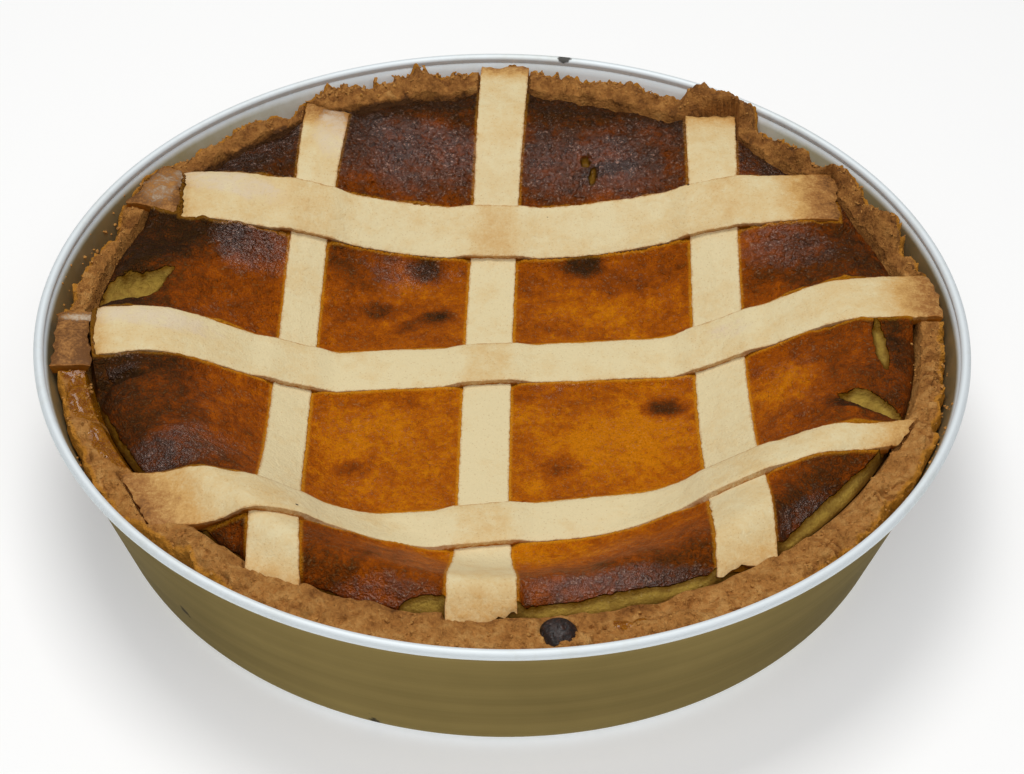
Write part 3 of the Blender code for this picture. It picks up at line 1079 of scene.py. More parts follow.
@dataclass(frozen=True)
class TinFinish:
    """Thin turned aluminium, tarnished olive outside, with painted light inside at the back and on
    the bead, and painted shade towards the sides.
    """

    # bright is the metal's colour, and a matte white where light is painted; dull is the inside
    # where tarnished and towards the sides
    bright: Color = paint(238, 245, 248)
    dull: Color = paint(188, 182, 142)
    olive: Color = paint(160, 140, 86)
    deep_olive: Color = paint(102, 86, 47)
    soot: Color = paint(40, 30, 18)
    edge: Color = (0.8, 0.76, 0.6)
    lines: Lumps = Lumps(1.0, 3.0, 0.7)
    lines_each_way: Triple = (6.0, 6.0, 1600.0)  # lumps a metre
    bands: Lumps = Lumps(1.0, 2.0, 0.5)
    bands_each_way: Triple = (3.0, 3.0, 130.0)
    cloudy: Lumps = Lumps(0.045, 3.0, 0.6)
    spotted: Lumps = Lumps(0.004, 3.0, 0.7)
    lines_bump: Bump = Bump(0.00006, 0.5)
    satin: float = 0.38  # roughness
    shine: float = 0.92  # how metallic it is

    def make(self) -> Material:
        """Make the material.

        Returns:
            The material.
        """
        shader = Shader("satin_aluminium")
        outside, stain, clean, tarnish = shader.kept("outside", "stain", "clean", "tarnish")
        lines = shader.lumps(self.lines, shader.stretched(*self.lines_each_way))
        bands = shader.lumps(self.bands, shader.stretched(*self.bands_each_way))
        cloudy = shader.lumps(self.cloudy)
        spotted = shader.lumps(self.spotted)
        # painted shade: duller inside and deeper olive outside towards the sides, mixed with cloudy
        # tarnish and wear
        tarnish_and_side_shade = (tarnish + cloudy.about(0.7) + spotted.about(0.4)).held()
        inner = shader.mix(tarnish_and_side_shade, self.bright, self.dull)
        wear_and_side_shade = (tarnish * 0.6 + bands * 0.7 + cloudy * 0.5 - 0.3).held()
        outer = shader.mix(wear_and_side_shade, self.olive, self.deep_olive)
        soot = (stain + spotted.about(1.2)).step(0.3, 0.6)
        color = shader.mix(soot * 0.9, shader.mix(outside, inner, outer), self.soot)
        # painted light: the bead and the inside at the back are rougher and hardly metallic, so
        # they show white
        rough = self.satin + lines * 0.14 + cloudy * 0.08 + clean * 0.14
        return shader.close(shader.principled(
            Base_Color=color, Metallic=self.shine - soot * 0.7 - clean * 0.62,
            Roughness=rough + outside * 0.08 + soot * 0.3,
            Normal=shader.bump(lines, self.lines_bump), Specular_Tint=self.edge))


@dataclass(frozen=True)
class FruitFinish:
    """Burnt candied fruit: near black, wrinkled, with a soft shine."""

    black: Color = paint(24, 16, 13)
    plum: Color = paint(66, 38, 26)
    wrinkled: Lumps = Lumps(0.0016, 3.0, 0.6, 1.2)
    wrinkled_bump: Bump = Bump(0.0007, 0.8)
    dry: float = 0.34  # roughness

    def make(self) -> Material:
        """Make the material.

        Returns:
            The material.
        """
        shader = Shader("burnt_fruit")
        wrinkled = shader.lumps(self.wrinkled)
        color = shader.mix(wrinkled.step(0.4, 0.75), self.black, self.plum)
        return shader.close(shader.principled(
            Base_Color=color, Roughness=self.dry + wrinkled * 0.2,
            Normal=shader.bump(wrinkled, self.wrinkled_bump)))


@dataclass(frozen=True)
class FloorFinish:
    """A plain pale floor."""

    pale: Color = paint(218, 218, 217)
    grey: Color = (0.62, 0.62, 0.62)
    light: Color = (1.0, 1.0, 1.0)
    glow: float = 0.38  # strength of its own light
    faint: Lumps = Lumps(0.6)
    dry: float = 0.9  # roughness

    def make(self) -> Material:
        """Make the material.

        Returns:
            The material.
        """
        shader = Shader("pale_floor")
        color = shader.mix(shader.lumps(self.faint) * 0.1, self.pale, self.grey)
        return shader.close(shader.principled(
            Base_Color=color, Roughness=self.dry, Specular_IOR_Level=0.1,
            Emission_Color=self.light, Emission_Strength=self.glow))


# ---- the tin

@dataclass(frozen=True)
class Scorch:
    """A small dark mark on the tin, at an angle in degrees and a height in metres."""

    angle: float
    half_turn: float
    height: float
    half_height: float


SCORCHES = (
    Scorch(82.1, 1.6, 0.057, 0.003),
    Scorch(-105.9, 1.4, 0.004, 0.004),
    Scorch(-134.2, 1.4, 0.019, 0.004),
)


@dataclass(frozen=True)
class Tin:
    """The tin: flat base, tapered wall and a bead rolled outward at the rim."""

    height: float = 0.057
    base_radius: float = 0.121
    wall_top_radius: float = 0.138
    rim_radius: float = 0.14
    bead_radius: float = 0.0015
    bead_arc: Pair = (170.0, -110.0)  # where it is rolled from and to
    bead_rows: int = 22
    wall: float = 0.001
    wall_foot: float = 0.012  # where the wall's straight part starts
    wall_head: float = 0.0033  # how far under the bead's middle that part ends inside
    wall_rows: int = 12
    foot_radius: float = 0.008
    foot_rows: int = 8
    steps: int = 320
    crease: float = 0.00025  # half the step in the wall under the bead
    crease_from: float = 0.00165  # where that step starts and ends, under the bead's middle
    crease_to: float = 0.001125
    tuck: float = 0.0002  # how far under the bead the outer wall comes out
    tuck_run: float = 0.001
    outer_bead_points: int = 4  # points of the bead that lie under it, outside
    painted_light_from: float = 0.0048  # how far under the top the bead's painted highlight starts
    at_back: Span = (0.3, 0.5)  # where its inside gets painted light, as a share pointing to the back
    at_sides: Span = (0.3, 0.6)  # where it gets painted shade, as a share pointing sideways

    def slope(self) -> float:
        """Return the wall's lean from upright, in radians."""
        return math.atan2(self.wall_top_radius - self.base_radius, self.height - self.bead_radius)

    def wall_radius(self, height: float | Array) -> float | Array:
        """Return the outer wall's radius at a height."""
        return self.base_radius + math.tan(self.slope()) * height

    @staticmethod
    def arc(centre: Pair, radius: float, first: float, last: float, count: int) -> list[Pair]:
        """Return points of an arc in the section plane, from the first to the last degree."""
        turns = np.radians(np.linspace(first, last, count + 1))
        return [(centre[0] + radius * math.cos(t), centre[1] + radius * math.sin(t))
                for t in turns]

    def profile(self) -> tuple[list[Pair], int]:
        """Work out the tin's section.

        Returns:
            Radius and height of its points, from the axis inside to the axis below, and which
            of them is the first on the outside.
        """
        slope = math.degrees(self.slope())
        bead = (self.rim_radius - self.bead_radius, self.height - self.bead_radius)
        inset = self.foot_radius * math.tan(math.radians(45.0 - slope / 2.0))
        foot = (self.base_radius - inset, self.foot_radius)
        points = [(0.0, self.wall), (foot[0] * 0.5, self.wall)]
        points += self.arc(foot, self.foot_radius - self.wall, -90.0, -slope, self.foot_rows)
        thick = self.wall / math.cos(self.slope())
        points += [(self.wall_radius(height) - thick, height) for height in np.linspace(
            self.wall_foot, bead[1] - self.wall_head, self.wall_rows)]
        inner = self.wall_radius(bead[1]) - self.wall
        points += [(inner - self.crease, bead[1] - self.crease_from),
                   (inner + self.crease, bead[1] - self.crease_to)]
        points += self.arc(bead, self.bead_radius, *self.bead_arc, self.bead_rows)
        outside_from = len(points) - self.outer_bead_points
        under = bead[1] - self.bead_radius
        points.append((self.wall_radius(under) + self.crease, under - self.tuck))
        points += [(self.wall_radius(height), height) for height in np.linspace(
            under - self.tuck_run, self.wall_foot, self.wall_rows)]
        points += self.arc(foot, self.foot_radius, -slope, -90.0, self.foot_rows)
        points += [(foot[0] * 0.5, 0.0), (0.0, 0.0)]
        return points, outside_from

    @staticmethod
    def stains(plan: Plan, z: Array) -> Array:
        """Return where the tin is scorched, 0 to 1."""
        found = [window(plan.degrees, mark.angle, mark.half_turn)
                 * fade(np.abs(z - mark.height), mark.half_height) for mark in SCORCHES]
        return np.max(found, axis=0)

    def build(self, material: Material) -> Piece:
        """Make the tin.

        Args:
            material: Its finish.

        Returns:
            The piece.
        """
        points, outside_from = self.profile()
        radii, heights = (np.repeat([[p[k]] for p in points], self.steps, axis=1) for k in (0, 1))
        obj = wrap("tin_shell", radii, heights)
        x, y, z = points_of(obj).T
        plan = Plan(x, y)
        outer = plan.radius > self.wall_radius(z) - 0.5 * self.wall
        beyond = outer & (z < points[outside_from][1] + MERGE)
        # painted highlight on the bead, painted light inside at the back, painted shade towards the
        # sides
        rolled = climb(z, self.height - self.painted_light_from, self.bead_radius)
        at_back = np.where(beyond, 0.0, 1.0) * climb(plan.back, *self.at_back)
        keep(obj, clean=np.maximum(rolled, at_back),
             tarnish=climb(np.abs(plan.right), *self.at_sides) * (1.0 - rolled),
             outside=np.where(beyond | (z < 0.5 * self.wall), 1.0, 0.0),
             stain=self.stains(plan, z))
        return finish_piece(obj, material, "tin", "tin")


# ---- the filling

@dataclass(frozen=True)
class Bare:
    """A stretch of the filling's edge that shows custard, angles in degrees.

    most is 1 where the custard is clean and less where it is darker, soaked with syrup and in
    painted shade.
    """

    first: float
    last: float
    width: float
    most: float = 1.0


# browned spots, and one painted shadow of the crust along the back rim
BROWNING_AND_SHADE = spots(
    (-25.3, 45.9, 8.5, 7, 0, 0.52),
    (-21.5, 26.2, 8, 4.5, 15, 0.55),
    (-30, 21.5, 8.5, 4.5, 20, 0.3),
    (-39.2, 27.9, 8, 5.5, 10, 0.34),
    (25.5, 49.2, 9.5, 6.8, 0, 0.62),
    (49.7, -13.5, 10, 6.2, 5, 0.68),
    (17.7, -39.5, 8, 6.5, 0, 0.26),
    (-29.5, -12.2, 9, 6, -20, 0.22),
    (-44, -42, 8, 6, 0, 0.2),
    (42, 42, 20, 11, 10, 0.16),
    (-45, 45, 20, 14, -20, 0.2),
    (10, -8, 18, 9, 0, 0.12),
    (36, -28, 30, 16, 20, -0.22),
    (24, 30, 19, 12, 0, -0.16),
    (-40, -28, 20, 14, 0, -0.14),
    (-30, 37, 16, 8, 0, -0.12),
    (84, -18, 17, 14, 20, -0.24),
    (10, -80, 45, 12, 0, -0.16),
    (96, 36, 30, 20, 0, 0.22),
    (117, -4, 16, 6, 90, 0.2),
    (90, -68, 26, 14, 42, 0.24),
    (48, -99, 30, 11, 14, 0.22),
    (-101, 40, 26, 17, 28, 0.24),
    (-79, 42, 13, 15, -30, 0.24),
    (-104, -18, 22, 11, -12, 0.18),
    # darker along the back rim: painted shadow of the crust
    (0, 116, 90, 16, 0, 0.16),
)
TEARS = spots(
    (-114, 15, 12.5, 5.6, 32, 0.0026),
    (113.6, -8, 10.5, 2.2, -88, 0.001),
    (108.5, -31.8, 10.5, 3.4, -22, 0.0022),
)
PINHOLES = spots(
    (26, 86.2, 1.8, 2.6, 20, 0.0022),
    (28.5, 81, 1.4, 3.6, -10, 0.0014),
)
BARE_EDGES = (
    Bare(-90, -56, 0.003),
    Bare(-103, -97, 0.0032),
    Bare(-49, -26, 0.0034),
    Bare(197, 212, 0.0015, 0.3),
)
DULL = spots(
    (-104, 25, 20, 22, 0, 0.7),
    (-118, 10, 16, 20, 0, 0.5),
    (0, 117, 90, 20, 0, 0.7),
    (10, -95, 80, 10, 0, 0.3),
)
GLOSSY = spots(
    (-92.6, -56.5, 26, 12, 24, 0.7),
    (-80, 41, 16, 17, -26, 0.7),
    (-29, 88, 30, 20, 0, 0.5),
    (28, 83, 30, 18, 0, 0.5),
    (-30, 44, 26, 9, 0, 0.4),
    (20, 0, 18, 12, 0, 0.2),
    (88, 42, 24, 14, -20, 0.5),
    (-112, -15, 16, 8, 0, 0.5),
    (-32, -108, 28, 8, 0, 0.5),
    (33, -103, 44, 8, 8, 0.8),
    (86, -76, 18, 7, 46, 0.5),
    (-113, -24, 10, 3, 8, 0.5),
)
PEBBLED = spots(
    (-81, 40, 20, 18, -20, 0.6),
    (-92.6, -57.5, 20, 12, 24, 0.25),
    (90, 40, 26, 16, -20, 0.6),
    (-30, 45, 28, 12, 0, 0.3),
    (-110, -16, 16, 8, 0, 0.5),
    (-30, 88, 30, 22, 0, 0.45),
    (30, 86, 32, 22, 0, 0.45),
)
BULGES = spots(
    (-95, -54, 19, 12, 28, 0.0026),
    (-121.5, -20, 11, 4, -20, 0.001),
    (-118, 20, 20, 5, 50, 0.0012),
    (-30, -101, 16, 7, 0, 0.0012),
    (94, 6, 14, 10, 0, 0.0008),
    (60, 85, 20, 12, -20, 0.001),
)
HOLLOWS = spots(
    (-112.5, -27.2, 9.5, 3.4, 8, 0.0026),
    (-118.2, -33, 7.5, 3.4, 66, 0.0026),
    (33, 83, 13, 3, 10, 0.0004),
    (104, -33, 12, 4, -10, 0.0012),
)


@dataclass(frozen=True)
class SkinMap:
    """Where the filling's skin is browned, glossy, pebbled or open."""

    golden: float = 0.2  # browning of the sunken middle, and what is added
    on_rise: float = 0.38
    rise_power: float = 0.9
    at_back: float = 0.22
    at_left: float = 0.2
    at_right: float = -0.05
    at_edge: float = 0.16
    edge_spared_in_front: float = 0.8
    behind_middle: float = 0.12
    # how much darker the hollows are: painted shade in them
    hollow_shade: float = 0.34
    cloud: Relief = Relief(0.06, 0.022, 0.1)
    back: Span = (0.036, 0.054)  # where the back starts, and so on
    side: Span = (0.2, 0.6)
    left_rim: Span = (0.086, 0.026)
    edge: Span = (0.108, 0.008)
    middle_back: Span = (-0.012, 0.03)
    browning_and_shade_steep: float = 1.25
    hollow_steep: float = 1.6
    spot_steep: float = 1.5
    shine: float = 0.14  # gloss everywhere, and what is added on the back swell
    shine_back: float = 0.36
    shiny_back: Span = (0.036, 0.05)
    shine_cloud: Relief = Relief(0.16, 0.016, 0.8)
    pebbled: float = 0.14  # pebbling everywhere, and what is added at the back
    pebbled_back: float = 0.8
    pebbly_back: Span = (0.036, 0.04)
    pebble_cloud: Relief = Relief(0.2, 0.014, 0.3)
    least_pebbled: float = 0.05
    open_run: float = 0.0012  # how far inside its rim bare custard is fully open
    edge_reach: float = 1.15  # a bare edge fades out this much beyond its half length
    edge_power: float = 0.3
    edge_waves: Relief = Relief(0.0006, 0.01)
    edge_grain: Relief = Relief(0.0002, 0.002, 0.5)
    tear_waves: Relief = Relief(0.14, 0.005, 0.6)
    tear_grain: Relief = Relief(0.08, 0.0016, 0.1)
    hole_grain: Relief = Relief(0.35, 0.0016, 0.6)
    hole_open: float = 0.6
    # pinholes show only the darker custard: painted shade inside them
    hole_most: float = 0.18

    def bareness(self, plan: Plan) -> Array:
        """Find where custard shows.

        Args:
            plan: The places.

        Returns:
            Above 0 where it shows, 1 well inside, and less than 0 elsewhere.
        """
        from_edge = PIE.edge_radius(plan.angle) - plan.radius
        found = np.full(plan.x.shape, -1.0)
        for edge in BARE_EDGES:
            middle, half = 0.5 * (edge.first + edge.last), 0.5 * (edge.last - edge.first)
            open_part = window(plan.degrees, middle, half * self.edge_reach)
            width = edge.width * open_part ** self.edge_power
            ragged = self.edge_waves.at(plan, middle) + self.edge_grain.at(plan)
            deep = (width + ragged - from_edge) / self.open_run
            found = np.maximum(found, np.minimum(deep, edge.most))
        ragged = self.tear_waves.at(plan) + self.tear_grain.at(plan)
        for tear in TEARS:
            deep = (tear.reach(plan) + ragged) * tear.wide / self.open_run
            found = np.maximum(found, deep)
        ragged = self.hole_grain.at(plan)
        for hole in PINHOLES:
            deep = (hole.reach(plan) + ragged) * self.hole_open
            found = np.maximum(found, np.minimum(deep, self.hole_most))
        return np.clip(found, -1.0, 1.0)

    def toast(self, plan: Plan) -> Array:
        """Work out how browned the skin is, with painted shade in its hollows and painted shadow of
        the crust at the back.

        Args:
            plan: The places.

        Returns:
            0 gold to 1 burnt.
        """
        rise, behind = PIE.rise(plan), climb(plan.y, *self.back)
        leftward = climb(-plan.right, *self.side) * climb(plan.radius, *self.left_rim)
        rightward = climb(plan.right, *self.side) * (1.0 - behind)
        spared = self.edge_spared_in_front * np.maximum(-plan.back, 0.0)
        level = (self.golden + self.on_rise * rise ** self.rise_power + self.at_back * behind
                 + self.at_left * leftward + self.at_right * rightward)
        level += self.at_edge * climb(plan.radius, *self.edge) * (1.0 - spared)
        level += self.behind_middle * climb(plan.y, *self.middle_back) * (1.0 - rise)
        level += self.cloud.at(plan)
        level += patches(BROWNING_AND_SHADE, plan, self.browning_and_shade_steep).sum(axis=0)
        # painted shade in the hollows
        for hollow in HOLLOWS:
            level += self.hollow_shade * ease(hollow.reach(plan) * self.hollow_steep)
        return np.clip(level, 0.0, 1.0)

    def gloss(self, plan: Plan) -> Array:
        """Work out how the skin shines.

        Args:
            plan: The places.

        Returns:
            0 dull to 1 wet.
        """
        level = self.shine + self.shine_back * PIE.rise(plan) * climb(plan.y, *self.shiny_back)
        level += patches(GLOSSY, plan, self.spot_steep).sum(axis=0)
        level -= patches(DULL, plan, self.spot_steep).sum(axis=0)
        return np.clip(level + self.shine_cloud.at(plan), 0.0, 1.0)

    def pebbles(self, plan: Plan) -> Array:
        """Find how coarse the skin's pebbling is.

        Args:
            plan: The places.

        Returns:
            0 smooth to 1.
        """
        level = self.pebbled + self.pebbled_back * climb(plan.y, *self.pebbly_back)
        level += self.pebble_cloud.at(plan) + patches(PEBBLED, plan, self.spot_steep).sum(axis=0)
        return np.clip(level, self.least_pebbled, 1.0)


SKIN = SkinMap()


@dataclass(frozen=True)
class Dent:
    """The hollow by the left tear, where the skin has folded in. Its angles are in degrees."""

    angle: float = 173.0
    radius: float = 0.113
    half_turn: float = 8.0
    half_width: float = 0.01
    depth: float = 0.003

    def at(self, plan: Plan) -> Array:
        """Return its depth at some places."""
        turned = window(plan.degrees, self.angle, self.half_turn)
        return self.depth * turned * fade(np.abs(plan.radius - self.radius), self.half_width)


@dataclass(frozen=True)
class Filling:
    """The baked ricotta and wheat, from its wrinkled skin down to the floor of the case."""

    cells: int = 300
    dip: float = 0.0006  # room left under a band
    creep: float = 0.001  # how high the skin climbs beside a laid band
    creep_width: float = 0.003
    sunken_tuck: Span = (0.0013, 0.0006)  # how far under a band's edge it drops to that room
    laid_tuck: Span = (0.0002, 0.0008)
    lip: float = 0.0008  # how far it stays below a sunken band's top
    lip_grain: Relief = Relief(0.00008, 0.0024, 0.2)
    warp: Relief = Relief(0.002, 0.006, 0.3)
    warp_across: Relief = Relief(0.002, 0.006, 0.7)
    fold: Relief = Relief(0.00034, 0.0052, 0.1)
    fold_stretch: float = 1.6  # folds and creases are this much longer along x
    crease: Relief = Relief(0.00048, 0.0064, 0.5, Grain.CREASED)
    crease_stretch: float = 1.7
    small: Relief = Relief(0.0004, 0.0023, 0.2)
    waves: Relief = Relief(0.0002, 0.01, 0.9)
    fine: Relief = Relief(0.00006, 0.0024, 0.4)
    folded: Span = (0.045, 0.035)  # the radius from which it is folded
    least_folded: float = 0.45  # how far that goes in front, as a share
    folded_back: Span = (-0.21875, 0.625)
    smooth_front: Span = (0.62, 0.2)
    smoothed_in_front: float = 0.85
    creased_from: Span = (0.3, 0.5)
    edge_run: float = 0.0012  # relief fades out this near the edge
    clear_run: float = 0.005  # bulges fade out this near a band
    creep_clear: float = 0.003
    dent: Dent = Dent()
    hollow_steep: float = 1.3
    tear_steep: float = 2.5
    bare_steep: float = 2.0
    curds: Relief = Relief(0.00022, 0.0024)
    custard_step: float = 0.0006  # how far bare custard lies under the skin
    sharp: float = 75.0

    @staticmethod
    def disc(u: Array, v: Array) -> tuple[Array, Array]:
        """Turn places in a square into even places in a disc.

        Args:
            u: Places across the square, -1 to 1.
            v: Places up the square, -1 to 1.

        Returns:
            The share of the disc's radius and the angle.
        """
        wide = np.abs(u) > np.abs(v)
        first = np.where(wide, u, v)
        second = np.where(wide, v, u)
        part = math.pi / 4.0 * second / np.where(first == 0.0, 1.0, first)
        angle = np.where(wide, part, math.pi / 2.0 - part)
        return np.abs(first), np.where(first < 0.0, angle + math.pi, angle)

    def crumpled(self, plan: Plan) -> Array:
        """Work out the skin's folds and creases.

        Args:
            plan: The places.

        Returns:
            Their heights.
        """
        at_back = climb(plan.back, *self.folded_back)
        strong = climb(plan.radius, *self.folded) * (
            self.least_folded + (1.0 - self.least_folded) * at_back)
        strong = strong * (1.0 - self.smoothed_in_front * climb(-plan.back, *self.smooth_front))
        x, y = plan.x + self.warp.at(plan), plan.y + self.warp_across.at(plan)
        folds = self.fold.at(Plan(x, y * self.fold_stretch))
        lines = self.crease.at(Plan(x, y * self.crease_stretch))
        lines = lines * climb(strong, *self.creased_from)
        level = self.waves.at(plan) + self.fine.at(plan)
        return level + strong * (folds - lines + self.small.at(plan))

    def skin(self, plan: Plan) -> Array:
        """Find the height of the skin, with no room for the bands.

        Args:
            plan: The places.

        Returns:
            The heights.
        """
        inside = climb(PIE.edge_radius(plan.angle) - plan.radius, 0.0, self.edge_run)
        clear = climb(PIE.apart(ALL_BANDS, plan), 0.0, self.clear_run)
        relief = self.crumpled(plan) + clear * patches(BULGES, plan).sum(axis=0)
        relief -= patches(HOLLOWS, plan, self.hollow_steep).sum(axis=0)
        relief -= patches(TEARS + PINHOLES, plan, self.tear_steep).sum(axis=0)
        height = PIE.filling_top(plan) + relief * inside
        height = height - self.dent.at(plan)
        bare = ease(SKIN.bareness(plan) * self.bare_steep)
        return height + (self.curds.at(plan, height) - self.custard_step) * bare * inside

    def height(self, plan: Plan) -> Array:
        """Find the height of the filling's top, with room for the bands.

        Args:
            plan: The places.

        Returns:
            The heights.
        """
        height = self.skin(plan)
        clear = climb(PIE.apart(SUNKEN_BANDS, plan), 0.0, self.creep_clear)
        for band in ALL_BANDS:
            away, top = band.outside(plan), PIE.band_top(band, plan)
            near = fade(away, self.creep_width)
            if band.laid:
                height = height + near * clear * self.creep
            else:
                height = height + (top - self.lip + self.lip_grain.at(plan) - height) * near
            drop = climb(-away, *(self.laid_tuck if band.laid else self.sunken_tuck))
            height = height + np.minimum(top - PIE.band_thickness - self.dip - height, 0.0) * drop
        return height

    def build(self, material: Material) -> Piece:
        """Make the filling.

        Args:
            material: Its finish.

        Returns:
            The piece.
        """
        obj = grid("filling_body", self.cells, self.cells)
        u, v, _ = points_of(obj).T
        share, angle = self.disc(u, v)
        plan = Plan.polar(share * PIE.edge_radius(angle), angle)
        z = self.height(plan)
        z = np.where(share > 1.0 - TINY, np.minimum(z, PIE.edge_height(angle)), z)
        move_points(obj, plan.x, plan.y, z)
        self.close_below(obj)
        x, y, _ = points_of(obj).T
        plan = Plan(x, y)
        keep(obj, toast=SKIN.toast(plan), strip=np.maximum(PIE.apart(ALL_BANDS, plan), 0.0),
             bare=SKIN.bareness(plan), gloss=SKIN.gloss(plan), pebbly=SKIN.pebbles(plan))
        return finish_piece(obj, material, "filling", "filling", sharp=self.sharp)

    @staticmethod
    def close_below(obj: Piece) -> None:
        """Extrude the top's rim down to the floor and close it there.

        Args:
            obj: The top, an open sheet.
        """
        activate(obj)
        top_count = len(obj.data.vertices)
        bpy.ops.object.mode_set(mode="EDIT")
        bpy.ops.mesh.select_all(action="DESELECT")
        bpy.ops.mesh.select_mode(type="VERT")
        bpy.ops.mesh.select_non_manifold()
        bpy.ops.mesh.extrude_region_move()
        bpy.ops.object.mode_set(mode="OBJECT")
        x, y, z = points_of(obj).T
        turn = np.arctan2(y, x)
        lower = np.arange(len(x)) >= top_count
        x = np.where(lower, PIE.floor_radius * np.cos(turn), x)
        y = np.where(lower, PIE.floor_radius * np.sin(turn), y)
        z = np.where(lower, PIE.floor_height + PIE.gap, z)
        move_points(obj, x, y, z)
        bpy.ops.object.mode_set(mode="EDIT")
        bpy.ops.mesh.extrude_region_move()
        bpy.ops.mesh.merge(type="CENTER")
        bpy.ops.mesh.select_all(action="SELECT")
        bpy.ops.mesh.normals_make_consistent(inside=False)
        bpy.ops.object.mode_set(mode="OBJECT")


# ---- the bands

# whitish patches on some band ends
WHITISH_SPOTS = spots(
    (-90, 64, 30, 10, -12, 0.7),
    (-106, -2, 32, 8.5, 0, 0.75),
    (-58, 94, 9, 20, 0, 0.75),
    (-111, 60, 9, 12, 0, 0.45),
    (-127, -4.2, 10, 2.6, 0, 0.7),
    (70, 12, 12, 6, 0, 0.5),
)


@dataclass(frozen=True)
class BandPiece:
    """A band of rolled pastry with rounded cut edges and torn ends."""

    band: Band
    cell: float = 0.00085
    fewest: int = 8  # cells along and across
    torn: Relief = Relief(0.0011, 0.009)  # how unevenly an end is torn
    ragged: Relief = Relief(0.0007, 0.0022, 0.5)
    torn_run: float = 0.006  # how far in from the end that reaches
    torn_drop: float = 0.0006  # how far the end sinks
    sawn: Relief = Relief(0.00016, 0.0021, 0.3)  # how unevenly a side is cut
    frayed: Relief = Relief(0.0001, 0.0009, 0.9)
    sawn_share: float = 0.1  # outer share of the half width that is cut unevenly
    wavy: Relief = Relief(0.00022, 0.016, 0.1)
    grainy: Relief = Relief(0.00005, 0.0021, 0.2)
    rounding: float = 0.0004  # how far a laid band's cut edges are rounded down
    rounding_width: float = 0.0022
    bevel: float = 0.0004
    bevel_rows: int = 3
    sharp: float = 50.0  # edges sharper than this are bevelled, in degrees
    swell_toast: float = 0.1
    crossing_toast: Triple = (0.06, 0.17, 0.08)
    crossing_blend: Span = (-0.0035, 0.007)
    whitish_steep: float = 1.5

    def toast(self, along: Array, plan: Plan) -> Array:
        """Work out how browned the band is.

        Args:
            along: Shares of the length.
            plan: The places.

        Returns:
            0 pale to 1 brown.
        """
        _, _, length = self.band.axes()
        level = self.band.toast + self.swell_toast * PIE.rise(plan) ** 2
        for share, end in zip((along, 1.0 - along), self.band.ends):
            level = level + end.toast * fade(share * length, end.reach)
        if self.band.laid:
            for under, share in zip(SUNKEN_BANDS, self.crossing_toast):
                level = level + share * climb(-under.outside(plan), *self.crossing_blend)
        return np.clip(level, 0.0, 1.0)

    def build(self, material: Material, slot: str) -> None:
        """Make the band.

        Args:
            material: Its finish.
            slot: The record's material slot.
        """
        run, left, length = self.band.axes()
        columns, rows = (max(self.fewest, round(size / self.cell))
                         for size in (length, max(self.band.widths)))
        obj = grid(self.band.name + "_pastry", columns, rows)
        u, v, _ = points_of(obj).T
        along = 0.5 + 0.5 * u
        plan = self.band.point(along, v)
        from_side = (1.0 - np.abs(v)) * 0.5 * self.band.width(along)
        side = np.clip(1.0 - (1.0 - np.abs(v)) / self.sawn_share, 0.0, 1.0) * np.sign(v)
        cut = (self.sawn.at(plan) + self.frayed.at(plan)) * side
        end = fade(1.0 - np.abs(u), self.torn_run / length)
        tear = self.torn.at(plan) * end + self.ragged.at(plan) * end ** 2
        plan = Plan(plan.x + left[0] * cut + run[0] * tear,
                    plan.y + left[1] * cut + run[1] * tear)
        z = PIE.band_top(self.band, plan) - PIE.edge_droop * np.abs(v)
        if self.band.laid:
            z -= self.rounding * fade(from_side, self.rounding_width)
        z += self.wavy.at(plan) + self.grainy.at(plan) - self.torn_drop * end ** 3
        move_points(obj, plan.x, plan.y, z)
        keep(obj, toast=self.toast(along, plan), edge=from_side,
             flour=patches(WHITISH_SPOTS, plan, self.whitish_steep).max(axis=0))
        modify(obj, "SOLIDIFY", thickness=PIE.band_thickness, offset=-1.0, use_even_offset=True)
        modify(obj, "BEVEL", width=self.bevel, segments=self.bevel_rows, limit_method="ANGLE",
               angle_limit=math.radians(self.sharp))
        x, y, z = points_of(obj).T
        below = PIE.band_top(self.band, Plan(x, y)) - z
        keep(obj, low=np.clip(below, 0.0, PIE.band_thickness))
        finish_piece(obj, material, slot, self.band.name, sharp=self.sharp)


# ---- the pastry case

@dataclass(frozen=True)
class Fringe:
    """A stretch of the crust's outer edge that is torn into flaky points, in degrees."""

    angle: float
    half_width: float
    reach: float
    lift: float


FRINGES = (
    Fringe(108, 14, 0.0024, 0.0022),
    Fringe(80, 10, 0.0018, 0.0016),
    Fringe(64, 8, 0.0016, 0.0012),
    Fringe(38, 10, 0.002, 0.0016),
    Fringe(20, 8, 0.0014, 0.0014),
    Fringe(0, 10, 0.001, 0.0008),
    Fringe(130, 8, 0.0014, 0.0014),
)
SPILLS = spots(
    (-121, -35, 15, 8.5, -74, 1.0),
    (-111, -54, 15, 8, -60, 1.0),
    (-128, -24, 7, 4, -80, 0.9),
    (34, -118.5, 4, 3.6, 0, 1.0),
    (38.6, -117.6, 2.4, 2.6, 0, 1.0),
)
MOUNDS = spots(
    (16.5, -130.2, 8.5, 4.2, 7, 0.002),
    (6.5, -121.5, 3, 2.2, 0, 0.0016),
    (34, -118.5, 3, 2.6, 0, 0.001),
    (38.6, -117.6, 2, 2.2, 0, 0.0008),
    (40, -114, 36, 5, 18, -0.0016),
    (6, -115, 20, 4, 0, -0.001),
    (-82, -96, 16, 6, -50, 0.0012),
)


